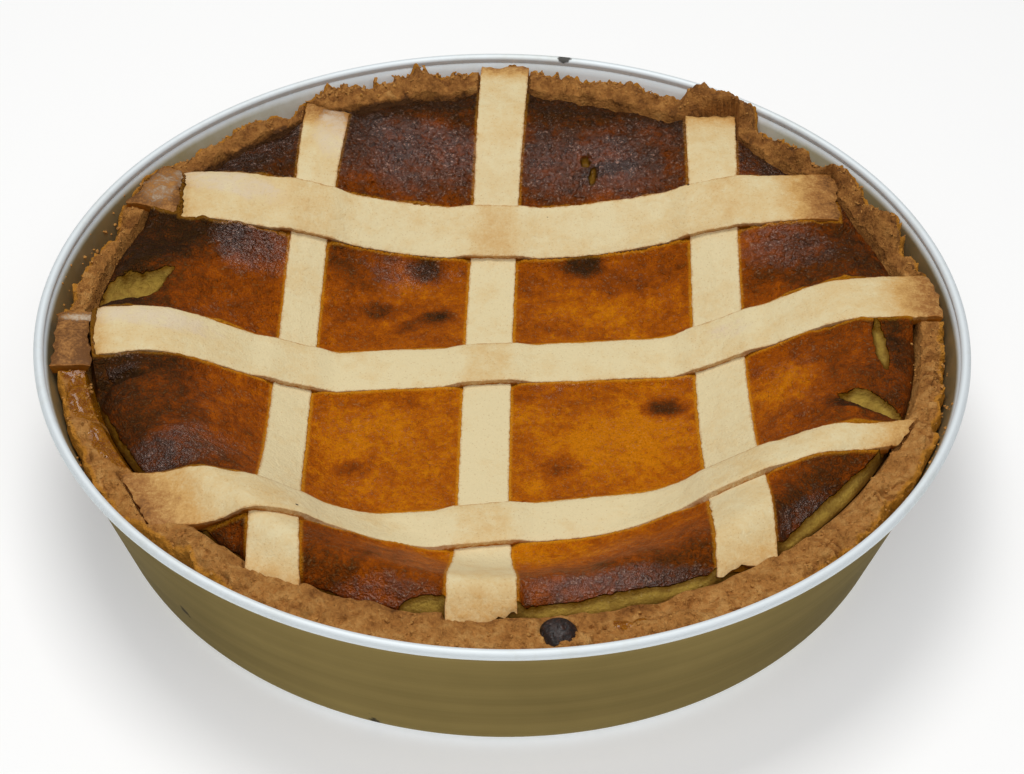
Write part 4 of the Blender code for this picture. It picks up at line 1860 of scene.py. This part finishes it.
@dataclass(frozen=True)
class Crust:
    """The baked pastry case, from its crumbly rim down to the base of the tin."""

    steps: int = 1560
    height: float = 0.0505
    tilt: float = 0.0038
    crown: float = 0.0014
    groove: float = 0.0012
    front_groove: float = 0.0022
    outer: float = 0.1325
    shrink_back: float = 0.0025
    touch: float = 0.036  # below this height it lies against the tin
    rim_clearance: float = 0.0011
    wall_from: float = 0.1  # rows beyond this radius are kept clear of the wall
    edge: float = 0.0035
    edge_round: float = 0.0006
    flap_rise: float = 0.6
    crag: Relief = Relief(0.0013, 0.006)
    foot: float = 0.008
    floor_share: float = 0.6  # where the floor's middle row lies
    inner_rows: tuple[float, ...] = (0.3, 0.6, 0.85)  # shares of the way up the inner lip
    edge_rows: tuple[float, ...] = (0.2, 0.45, 0.75, 1.0)  # down the rounded outer edge
    wall_rows: tuple[float, ...] = (0.35, 0.7)  # from there down to the touch
    inner_loose: float = 0.5  # how rough those rows are, where the top is 1
    edge_loose: float = 0.5
    wall_loose: float = 0.4
    top_rows: int = 24
    press: Span = (-0.001, 0.0008)  # how near a band the top is pressed down
    pressed_from: float = 0.3  # looseness of the rows that can be pressed
    lumpy: Relief = Relief(0.0008, 0.0042, kind=Grain.ROUGH)
    crumbly: Relief = Relief(0.00048, 0.0021)
    gritty: Relief = Relief(0.00034, 0.0011)
    pitted: Relief = Relief(0.00045, 0.0034, kind=Grain.CREASED)
    pit_layer: float = 0.5
    seated: float = 0.7  # how much of the roughness bands and syrup take away
    smoothed: float = 0.8
    sideways: float = 0.6  # share of the roughness that also moves it outward
    cracked: tuple[tuple[float, float, int], ...] = (  # from and to in degrees, how many
        (-14.0, 14.0, 16), (-50.0, -20.0, 9), (150.0, 165.0, 4))
    crack_seed: int = 4
    crack_depth: float = 0.0009
    crack_lean: float = 250.0  # at most, in degrees a metre
    crack_from: Pair = (0.124, 0.13)  # nearest and farthest start of a crack
    crack_run: float = 0.002
    crack_width: float = 0.42  # half, in degrees
    fringe_from: float = 0.122
    fringe_run: float = 0.01
    points: Relief = Relief(1.0, 0.0022)  # the torn points of the fringes
    points_per_degree: float = 0.0023
    points_upright: float = 0.3
    point_middle: float = 0.35
    point_least: float = -0.2
    mound_steep: float = 1.5
    shade_rough: Relief = Relief(0.5, 0.0042, kind=Grain.ROUGH)
    crack_shade: float = 0.5  # how much darker the cracks are, painted shade in them; the back and so on are darker too
    back_shade: float = 0.34
    at_back: Span = (-0.125, 0.625)
    corner_shade: float = 0.14
    corner: Pair = (45.0, 40.0)  # its middle and half width, in degrees
    front_shade: float = 0.25
    front_inside: Span = (0.118, 0.003)
    # painted shade low on the inner lip at the back, in the groove where it meets the filling
    lip_shade: float = 1.1
    lip_shade_height: float = 0.0024  # how far over the filling's edge the inner lip gets painted shade
    lip_shade_waves: Relief = Relief(0.0005, 0.005, 0.4)
    lip_shade_blend: float = 0.001
    lip_shade_arc: Pair = (120.0, 34.0)  # its middle and half width, in degrees
    lip_shade_inside: Span = (0.1265, 0.001)
    darkest: float = -0.6
    golden_width: float = 0.0022  # of the golden line along the outer edge
    spill_steep: float = 1.6
    sharp: float = 60.0

    def inside_tin(self, tin: Tin, radius: Array, height: Array) -> Array:
        """Keep a surface clear of the tin's wall and bead.

        Args:
            tin: The tin.
            radius: Where the surface lies.
            height: Its height.

        Returns:
            The radius, moved inward where it has to be.
        """
        bead = tin.rim_radius - 2.0 * tin.bead_radius - self.rim_clearance
        wall = tin.wall_radius(height) - tin.wall - PIE.wall_gap
        return np.minimum(np.minimum(radius, bead), wall)

    def outer_radius(self, angle: Array) -> Array:
        """Find the radius of the crust's upper outer edge.

        Args:
            angle: Angles round the pie, in radians.

        Returns:
            The radii, torn outward or inward at the flaps.
        """
        degrees = np.degrees(angle)
        radius = self.outer - self.shrink_back * np.maximum(np.sin(angle), 0.0)
        for flap in FLAPS:
            radius = radius + flap.reach * flap.share(degrees)
        size = self.crag.size / self.outer
        return radius + self.crag.depth * grain(np.cos(angle), np.sin(angle), 1.0, size)

    def top(self, angle: Array, radius: Array, across: float) -> Array:
        """Find the height of the crust's top.

        Args:
            angle: Angles round the pie, in radians.
            radius: Radius at each angle.
            across: 0 at the inner lip to 1 outside.

        Returns:
            The heights, raised at the flaps and up to the bands that lie on it.
        """
        degrees = np.degrees(angle)
        plan = Plan.polar(radius, angle)
        height = self.height + self.tilt * np.sin(angle)
        height = height + self.crown * math.sin(math.pi * across)
        raised = climb(across, 0.0, self.flap_rise)
        for flap in FLAPS:
            height = height + flap.lift * flap.share(degrees) * raised
        height = height + self.crag.at(plan, height)
        band_height = PIE.swell(plan) + PIE.laid_lift - 0.5 * PIE.band_thickness
        return height + np.maximum(band_height - height, 0.0) * PIE.seat(plan)

    def pressed(self, plan: Plan, height: Array) -> Array:
        """Press the top down under the ends of the bands.

        Args:
            plan: The places.
            height: The top's height there.

        Returns:
            The new heights.
        """
        for band in ALL_BANDS:
            under = PIE.band_top(band, plan) - PIE.band_thickness - PIE.gap
            drop = climb(-band.outside(plan), *self.press)
            height = height + np.minimum(under - height, 0.0) * drop
        return height

    def section(self, tin: Tin, angle: Array) -> tuple[Array, Array, Array]:
        """Work out the case's section at every angle.

        Args:
            tin: The tin that it stands in.
            angle: Angles round the pie, in radians.

        Returns:
            Radius, height and looseness by row and by angle. Looseness is 1 on the rough top.
        """
        contact = PIE.edge_radius(angle) + PIE.wall_gap
        lip = contact + self.groove + self.front_groove * np.maximum(-np.sin(angle), 0.0)
        outer, foot = self.outer_radius(angle), PIE.edge_height(angle)
        rows = [(0.0, PIE.floor_height, 0.0),
                (self.floor_share * PIE.floor_radius, PIE.floor_height, 0.0),
                (PIE.floor_radius + PIE.wall_gap, PIE.floor_height, 0.0),
                (contact, foot, 0.0)]
        first = self.top(angle, lip, 0.0)
        rows += [(contact + (lip - contact) * share, foot + (first - foot) * share,
                  self.inner_loose) for share in self.inner_rows]
        for across in np.linspace(0.0, 1.0, self.top_rows):
            radius = lip + (outer - lip) * across
            rows.append((radius, self.top(angle, radius, float(across)), 1.0))
        last = rows[-1][1]
        rows += [(outer + self.edge_round * math.sin(share * math.pi / 2.0),
                  last - self.edge * share, 1.0 - self.edge_loose * share)
                 for share in self.edge_rows]
        low = last - self.edge
        rows += [(outer + self.edge_round, low + (self.touch - low) * share, self.wall_loose)
                 for share in self.wall_rows]
        base = tin.wall + PIE.wall_gap
        rows += [(tin.rim_radius, self.touch, 0.0), (tin.rim_radius, self.foot, 0.0),
                 (tin.base_radius - self.foot, base, 0.0), (0.0, base, 0.0)]
        radii, heights = (np.array([row[k] * np.ones_like(angle) for row in rows]) for k in (0, 1))
        return radii, heights, np.array([[row[2]] for row in rows])

    def cracks(self, degrees: Array, radius: Array) -> Array:
        """Find the short cracks across the crust.

        Args:
            degrees: Angles round the pie.
            radius: Distances from the axis.

        Returns:
            0 where there is none, to 1 in a crack.
        """
        draw = random.Random(self.crack_seed)
        depth = np.zeros_like(radius)
        for first, last, count in self.cracked:
            for _ in range(count):
                angle = draw.uniform(first, last)
                lean = draw.uniform(-self.crack_lean, self.crack_lean)
                start = draw.uniform(*self.crack_from)
                line = window(degrees, angle + lean * (radius - start), self.crack_width)
                depth = np.maximum(depth, climb(radius, start, self.crack_run) * line)
        return depth

    def torn(self, angle: Array, radii: Array, heights: Array, loose: Array) -> tuple[Array, Array]:
        """Roughen the section's rows, and tear its outer edge into points.

        Args:
            angle: Angles round the pie, in radians.
            radii: Radius by row and by angle.
            heights: Height by row and by angle.
            loose: Looseness by row.

        Returns:
            The new radii and heights.
        """
        degrees = np.degrees(angle)
        plan = Plan.polar(radii, angle)
        outward = np.clip((radii - self.fringe_from) / self.fringe_run, 0.0, 1.0)
        rough = (self.lumpy.at(plan, heights) + self.crumbly.at(plan, heights)
                 + self.gritty.at(plan, heights) - self.pitted.at(plan, heights + self.pit_layer))
        rough = rough * loose * (1.0 - self.seated * PIE.seat(plan))
        rough = rough - self.crack_depth * self.cracks(degrees, radii) * loose
        rough = rough * (1.0 - self.smoothed * self.wetness(plan))
        radii, heights = radii + self.sideways * rough * loose, heights + rough
        for fringe in FRINGES:
            torn = np.sqrt(window(degrees, fringe.angle, fringe.half_width))
            rolled = Plan(degrees * self.points_per_degree, heights * self.points_upright)
            spike = np.abs(self.points.at(rolled, fringe.angle)) - self.point_middle
            radii = radii + fringe.reach * torn * spike * outward ** 2 * loose
            spike = np.maximum(spike, self.point_least)
            heights = heights + fringe.lift * torn * spike * outward * loose
        return radii, heights

    def shade(self, plan: Plan, z: Array) -> Array:
        """Work out how pale the pastry is, with painted shade in its cracks and low on its inner
        lip at the back.

        Args:
            plan: The places.
            z: Their heights.

        Returns:
            Less than 0 dark to 1 pale.
        """
        degrees, radius, back = plan.degrees, plan.radius, plan.back
        level = 0.5 + self.shade_rough.at(plan, z)
        # painted shade in the cracks
        level -= self.crack_shade * self.cracks(degrees, radius)
        level -= self.back_shade * climb(back, *self.at_back)
        level -= self.corner_shade * window(degrees, *self.corner)
        start, run = self.front_inside
        level -= self.front_shade * fade(radius - start, run) * np.maximum(-back, 0.0)
        # painted shade low on the inner lip at the back, where it meets the filling
        start, run = self.lip_shade_inside
        lip = fade(radius - start, run) * np.sqrt(window(degrees, *self.lip_shade_arc))
        lip_shade_line = PIE.edge_height(plan.angle) + self.lip_shade_height + self.lip_shade_waves.at(plan)
        level -= self.lip_shade * climb(lip_shade_line, z, self.lip_shade_blend) * lip
        return np.clip(level, self.darkest, 1.0)

    def wetness(self, plan: Plan) -> Array:
        """Return where syrup has run over the crust, 0 to 1."""
        return patches(SPILLS, plan, self.spill_steep).max(axis=0)

    def build(self, tin: Tin, material: Material) -> Piece:
        """Make the case.

        Args:
            tin: The tin that it stands in.
            material: Its finish.

        Returns:
            The piece.
        """
        angle = 2.0 * np.pi * np.arange(self.steps) / self.steps
        radii, heights, loose = self.section(tin, angle)
        radii, heights = self.torn(angle, radii, heights, loose)
        plan = Plan.polar(radii, angle)
        heights = heights + patches(MOUNDS, plan, self.mound_steep).sum(axis=0) * loose
        pressed = self.pressed(plan, heights)
        heights = np.where(loose > self.pressed_from, pressed, heights)
        clear = self.inside_tin(tin, radii, heights)
        obj = wrap("crust_case", np.where(radii > self.wall_from, clear, radii), heights)
        x, y, z = points_of(obj).T
        plan = Plan(x, y)
        from_edge = self.outer_radius(plan.angle) - plan.radius
        keep(obj, crag=self.shade(plan, z), fringe=fade(from_edge, self.golden_width),
             wet=self.wetness(plan))
        return finish_piece(obj, material, "crust", "crust", sharp=self.sharp)


# ---- small pieces

@dataclass(frozen=True)
class BurntFruit:
    """A burnt candied fruit, half sunk in the crust at the front."""

    place: Triple = (0.0165, -0.123, 0.0463)
    radius: float = 0.0054
    squash: float = 0.84
    segments: int = 72
    rings: int = 44
    folds: Relief = Relief(0.055, 0.0024, kind=Grain.CREASED)
    fold_upright: float = 0.5  # folds run this much more upright than across
    lumps: Relief = Relief(0.03, 0.004)
    sharp: float = 80.0

    def build(self, material: Material) -> None:
        """Make the fruit.

        Args:
            material: Its finish.
        """
        deselect()
        bpy.ops.mesh.primitive_uv_sphere_add(
            segments=self.segments, ring_count=self.rings, radius=self.radius)
        obj = bpy.context.object
        obj.name = obj.data.name = "burnt_fruit_ball"
        x, y, z = points_of(obj).T
        plan = Plan(x, y)
        scale = 1.0 - self.folds.at(plan, z * self.fold_upright) - self.lumps.at(plan, z)
        move_points(obj, x * scale + self.place[0], y * scale + self.place[1],
                    z * scale * self.squash + self.place[2])
        finish_piece(obj, material, "burnt_fruit", "burnt_fruit", sharp=self.sharp)


class Ground:
    """What small pieces lie on."""

    above: float = 0.2  # height from which it is looked at

    def __init__(self, *pieces: Piece) -> None:
        """Read the shapes of finished pieces.

        Args:
            pieces: The pieces.
        """
        graph = bpy.context.evaluated_depsgraph_get()
        self.trees = [BVHTree.FromObject(piece, graph) for piece in pieces]

    def under(self, x: float, y: float) -> float:
        """Find the height of the highest surface at a place.

        Args:
            x: The place's x.
            y: The place's y.

        Returns:
            The height, 0 where there is no surface.
        """
        eye, down = Vector((x, y, self.above)), Vector((0.0, 0.0, -1.0))
        found = [tree.ray_cast(eye, down)[0] for tree in self.trees]
        return max([0.0] + [place.z for place in found if place is not None])


@dataclass(frozen=True)
class Litter:
    """Where small loose bits lie: a ring sector, in degrees and metres, and how many."""

    first: float
    last: float
    inner: float
    outer: float
    count: int
    smallest: float
    largest: float


CRUMB_BEDS = (
    Litter(0, 360, 0.1255, 0.1335, 360, 0.0003, 0.0009),
    Litter(60, 130, 0.123, 0.1335, 150, 0.0004, 0.0011),
    Litter(-60, 20, 0.123, 0.1345, 160, 0.0004, 0.0011),
    Litter(150, 215, 0.124, 0.1345, 140, 0.0004, 0.0012),
    Litter(255, 300, 0.119, 0.13, 80, 0.0004, 0.0013),
    Litter(146, 178, 0.1335, 0.1362, 22, 0.0004, 0.0013),
    Litter(-38, -12, 0.1335, 0.1364, 26, 0.0004, 0.0012),
)
FLAKE_BEDS = (
    Litter(96, 122, 0.1265, 0.133, 90, 0.0009, 0.0022),
    Litter(66, 90, 0.127, 0.1325, 60, 0.0008, 0.0018),
    Litter(18, 50, 0.1275, 0.1335, 80, 0.0009, 0.002),
    Litter(-20, 14, 0.1285, 0.134, 46, 0.0008, 0.0016),
    Litter(128, 160, 0.1285, 0.1335, 40, 0.0008, 0.0018),
)


@dataclass(frozen=True)
class Crumbs:
    """Crumbs and flakes of pastry that lie on the crust's rim."""

    seed: int = 11
    lowest: float = 0.04  # none lies lower than this
    crumb_lumps: Relief = Relief(0.28, 0.45)
    crumb_squash: float = 0.8
    crumb_lift: float = 0.15  # how far a middle lies over the ground, in sizes
    crumb_tilt: float = 1.0  # at most, in radians
    flake_torn: Relief = Relief(0.3, 0.6, 0.3)
    flake_width: float = 0.3
    flake_taper: float = 0.55
    flake_curl: float = 0.12
    flake_wave: float = 0.05
    flake_waves: float = 3.0
    flake_thickness: float = 0.16
    flake_lift: float = 0.1
    flake_tilt: float = 0.6
    stretch: Pair = (0.8, 1.4)  # shortest and longest, in sizes
    shade: float = 0.7  # how pale they are, and how golden
    gold: float = 0.35

    def crumb(self) -> Piece:
        """Model one crumb, one metre across, for scaling.

        Returns:
            The crumb.
        """
        deselect()
        bpy.ops.mesh.primitive_ico_sphere_add(subdivisions=2, radius=0.5)
        obj = bpy.context.object
        x, y, z = points_of(obj).T
        scale = 1.0 + self.crumb_lumps.at(Plan(x, y), z)
        move_points(obj, x * scale, y * scale, z * scale * self.crumb_squash)
        return obj

    def flake(self) -> Piece:
        """Model one flake, one metre long: a thin curled leaf with a torn rim.

        Returns:
            The flake.
        """
        obj = grid("flake", 4, 3)
        x, y, _ = points_of(obj).T
        torn = 1.0 + self.flake_torn.at(Plan(x, y))
        width = self.flake_width * (1.0 - self.flake_taper * (x + 1.0) / 2.0)
        curl = self.flake_curl * x ** 2 + self.flake_wave * np.sin(self.flake_waves * y)
        move_points(obj, 0.5 * x * torn, y * width * torn, curl)
        modify(obj, "SOLIDIFY", thickness=self.flake_thickness, offset=0.0)
        return obj

    def place(self, beds: tuple[Litter, ...], ground: Ground, lift: float,
              tilt: float) -> list[Matrix]:
        """Draw a place, turn and size for each bit.

        Args:
            beds: Where they lie.
            ground: What they lie on.
            lift: How far a bit's middle lies over the surface, in sizes.
            tilt: Largest tilt, in radians.

        Returns:
            One matrix a bit.
        """
        draw = random.Random(self.seed)
        found = []
        for bed in beds:
            for _ in range(bed.count):
                angle = math.radians(draw.uniform(bed.first, bed.last))
                radius = draw.uniform(bed.inner, bed.outer)
                size = bed.smallest + (bed.largest - bed.smallest) * draw.random() ** 2
                x, y = radius * math.cos(angle), radius * math.sin(angle)
                height = ground.under(x, y)
                if height < self.lowest:
                    continue
                turn = Matrix.Rotation(draw.uniform(0.0, 2.0 * math.pi), 4, "Z")
                lean = Matrix.Rotation(draw.uniform(-tilt, tilt), 4, "Y")
                stretch = Matrix.Diagonal((size * draw.uniform(*self.stretch), size, size, 1.0))
                spot = Matrix.Translation((x, y, height + size * lift))
                found.append(spot @ turn @ lean @ stretch)
        return found

    def build(self, ground: Ground, material: Material) -> None:
        """Make the crumbs and the flakes, one piece each.

        Args:
            ground: What they lie on.
            material: Their finish.
        """
        crumbs = self.place(CRUMB_BEDS, ground, self.crumb_lift, self.crumb_tilt)
        flakes = self.place(FLAKE_BEDS, ground, self.flake_lift, self.flake_tilt)
        for obj in (copies("loose_crumbs", self.crumb(), crumbs),
                    copies("crust_flakes", self.flake(), flakes)):
            each = np.ones(len(obj.data.vertices))
            keep(obj, crag=self.shade * each, fringe=self.gold * each, wet=0.0 * each)
            finish_piece(obj, material, "crust")


# ---- studio

@dataclass(frozen=True)
class Lamp:
    """A square soft light that aims at the pie. Sizes in metres, power in watts."""

    name: str
    place: Triple
    size: float
    power: float
    color: Color = (1.0, 1.0, 1.0)


LAMPS = (
    Lamp("key", (-0.12, 0.24, 1.3), 0.6, 9.0, (1.0, 0.99, 0.975)),
    Lamp("fill", (0.1, -0.8, 1.25), 1.0, 7.6, (0.98, 0.985, 1.0)),
)


def aimed(place: Triple, aim: Triple, roll: float = 0.0) -> Matrix:
    """Stand a lamp or a camera somewhere.

    Args:
        place: Where it stands.
        aim: What it looks at.
        roll: How far it is turned about its own view, in degrees.

    Returns:
        Its matrix.
    """
    way = Vector(aim) - Vector(place)
    turn = way.to_track_quat("-Z", "Y").to_matrix().to_4x4()
    return Matrix.Translation(place) @ turn @ Matrix.Rotation(math.radians(roll), 4, "Z")


@dataclass(frozen=True)
class Studio:
    """Pale floor, soft lamps and the camera at the photograph's angle."""

    eye: Triple = (0.00307, -0.55881, 0.51654)
    aim: Triple = (0.00307, 0.02979, 0.0)
    roll: float = 1.114
    lens: float = 84.375
    sensor: float = 36.0
    nearest: float = 0.01  # what is nearer or further isn't seen
    furthest: float = 20.0
    floor_size: float = 6.0
    sky: float = 0.16
    sky_color: Color = (0.93, 0.96, 1.0)

    def build(self) -> None:
        """Set up floor, light and camera."""
        self.floor()
        for lamp in LAMPS:
            self.light(lamp)
        self.world()
        self.camera()
        bpy.context.scene.view_settings.view_transform = "Standard"

    def floor(self) -> None:
        """Add the floor."""
        obj = grid("floor", 2, 2)
        x, y, z = points_of(obj).T
        half = 0.5 * self.floor_size
        move_points(obj, x * half, y * half, z)
        obj.data.materials.append(FloorFinish().make())

    def light(self, lamp: Lamp) -> None:
        """Add a soft light.

        Args:
            lamp: Its place, size, power and colour.
        """
        data = bpy.data.lights.new(lamp.name, "AREA")
        data.shape = "SQUARE"
        data.size = lamp.size
        data.energy = lamp.power
        data.color = lamp.color
        obj = bpy.data.objects.new(lamp.name, data)
        obj.matrix_world = aimed(lamp.place, self.aim)
        bpy.context.scene.collection.objects.link(obj)

    def world(self) -> None:
        """Add an even pale sky."""
        world = bpy.data.worlds.new("studio")
        world.use_nodes = True
        background = world.node_tree.nodes["Background"]
        background.inputs["Color"].default_value = (*self.sky_color, 1.0)
        background.inputs["Strength"].default_value = self.sky
        bpy.context.scene.world = world

    def camera(self) -> None:
        """Add the camera."""
        data = bpy.data.cameras.new("camera")
        data.lens, data.sensor_width = self.lens, self.sensor
        data.clip_start, data.clip_end = self.nearest, self.furthest
        obj = bpy.data.objects.new("camera", data)
        obj.matrix_world = aimed(self.eye, self.aim, self.roll)
        bpy.context.scene.collection.objects.link(obj)
        bpy.context.scene.camera = obj


def main() -> None:
    """Build every piece and the studio."""
    logging.basicConfig(level=logging.INFO, format="%(name)s %(message)s")
    pastry, crust_pastry = BandFinish().make(), CrustFinish().make()
    tin = Tin()
    shell = tin.build(TinFinish().make())
    crust = Crust().build(tin, crust_pastry)
    filling = Filling().build(SkinFinish().make())
    for band in SUNKEN_BANDS + LAID_BANDS:
        BandPiece(band).build(pastry, "band")
    for band in BROKEN_ENDS:
        BandPiece(band).build(pastry, "toasted_band")
    BurntFruit().build(FruitFinish().make())
    Crumbs().build(Ground(crust, filling, shell), crust_pastry)
    Studio().build()


if __name__ == "__main__":
    main()
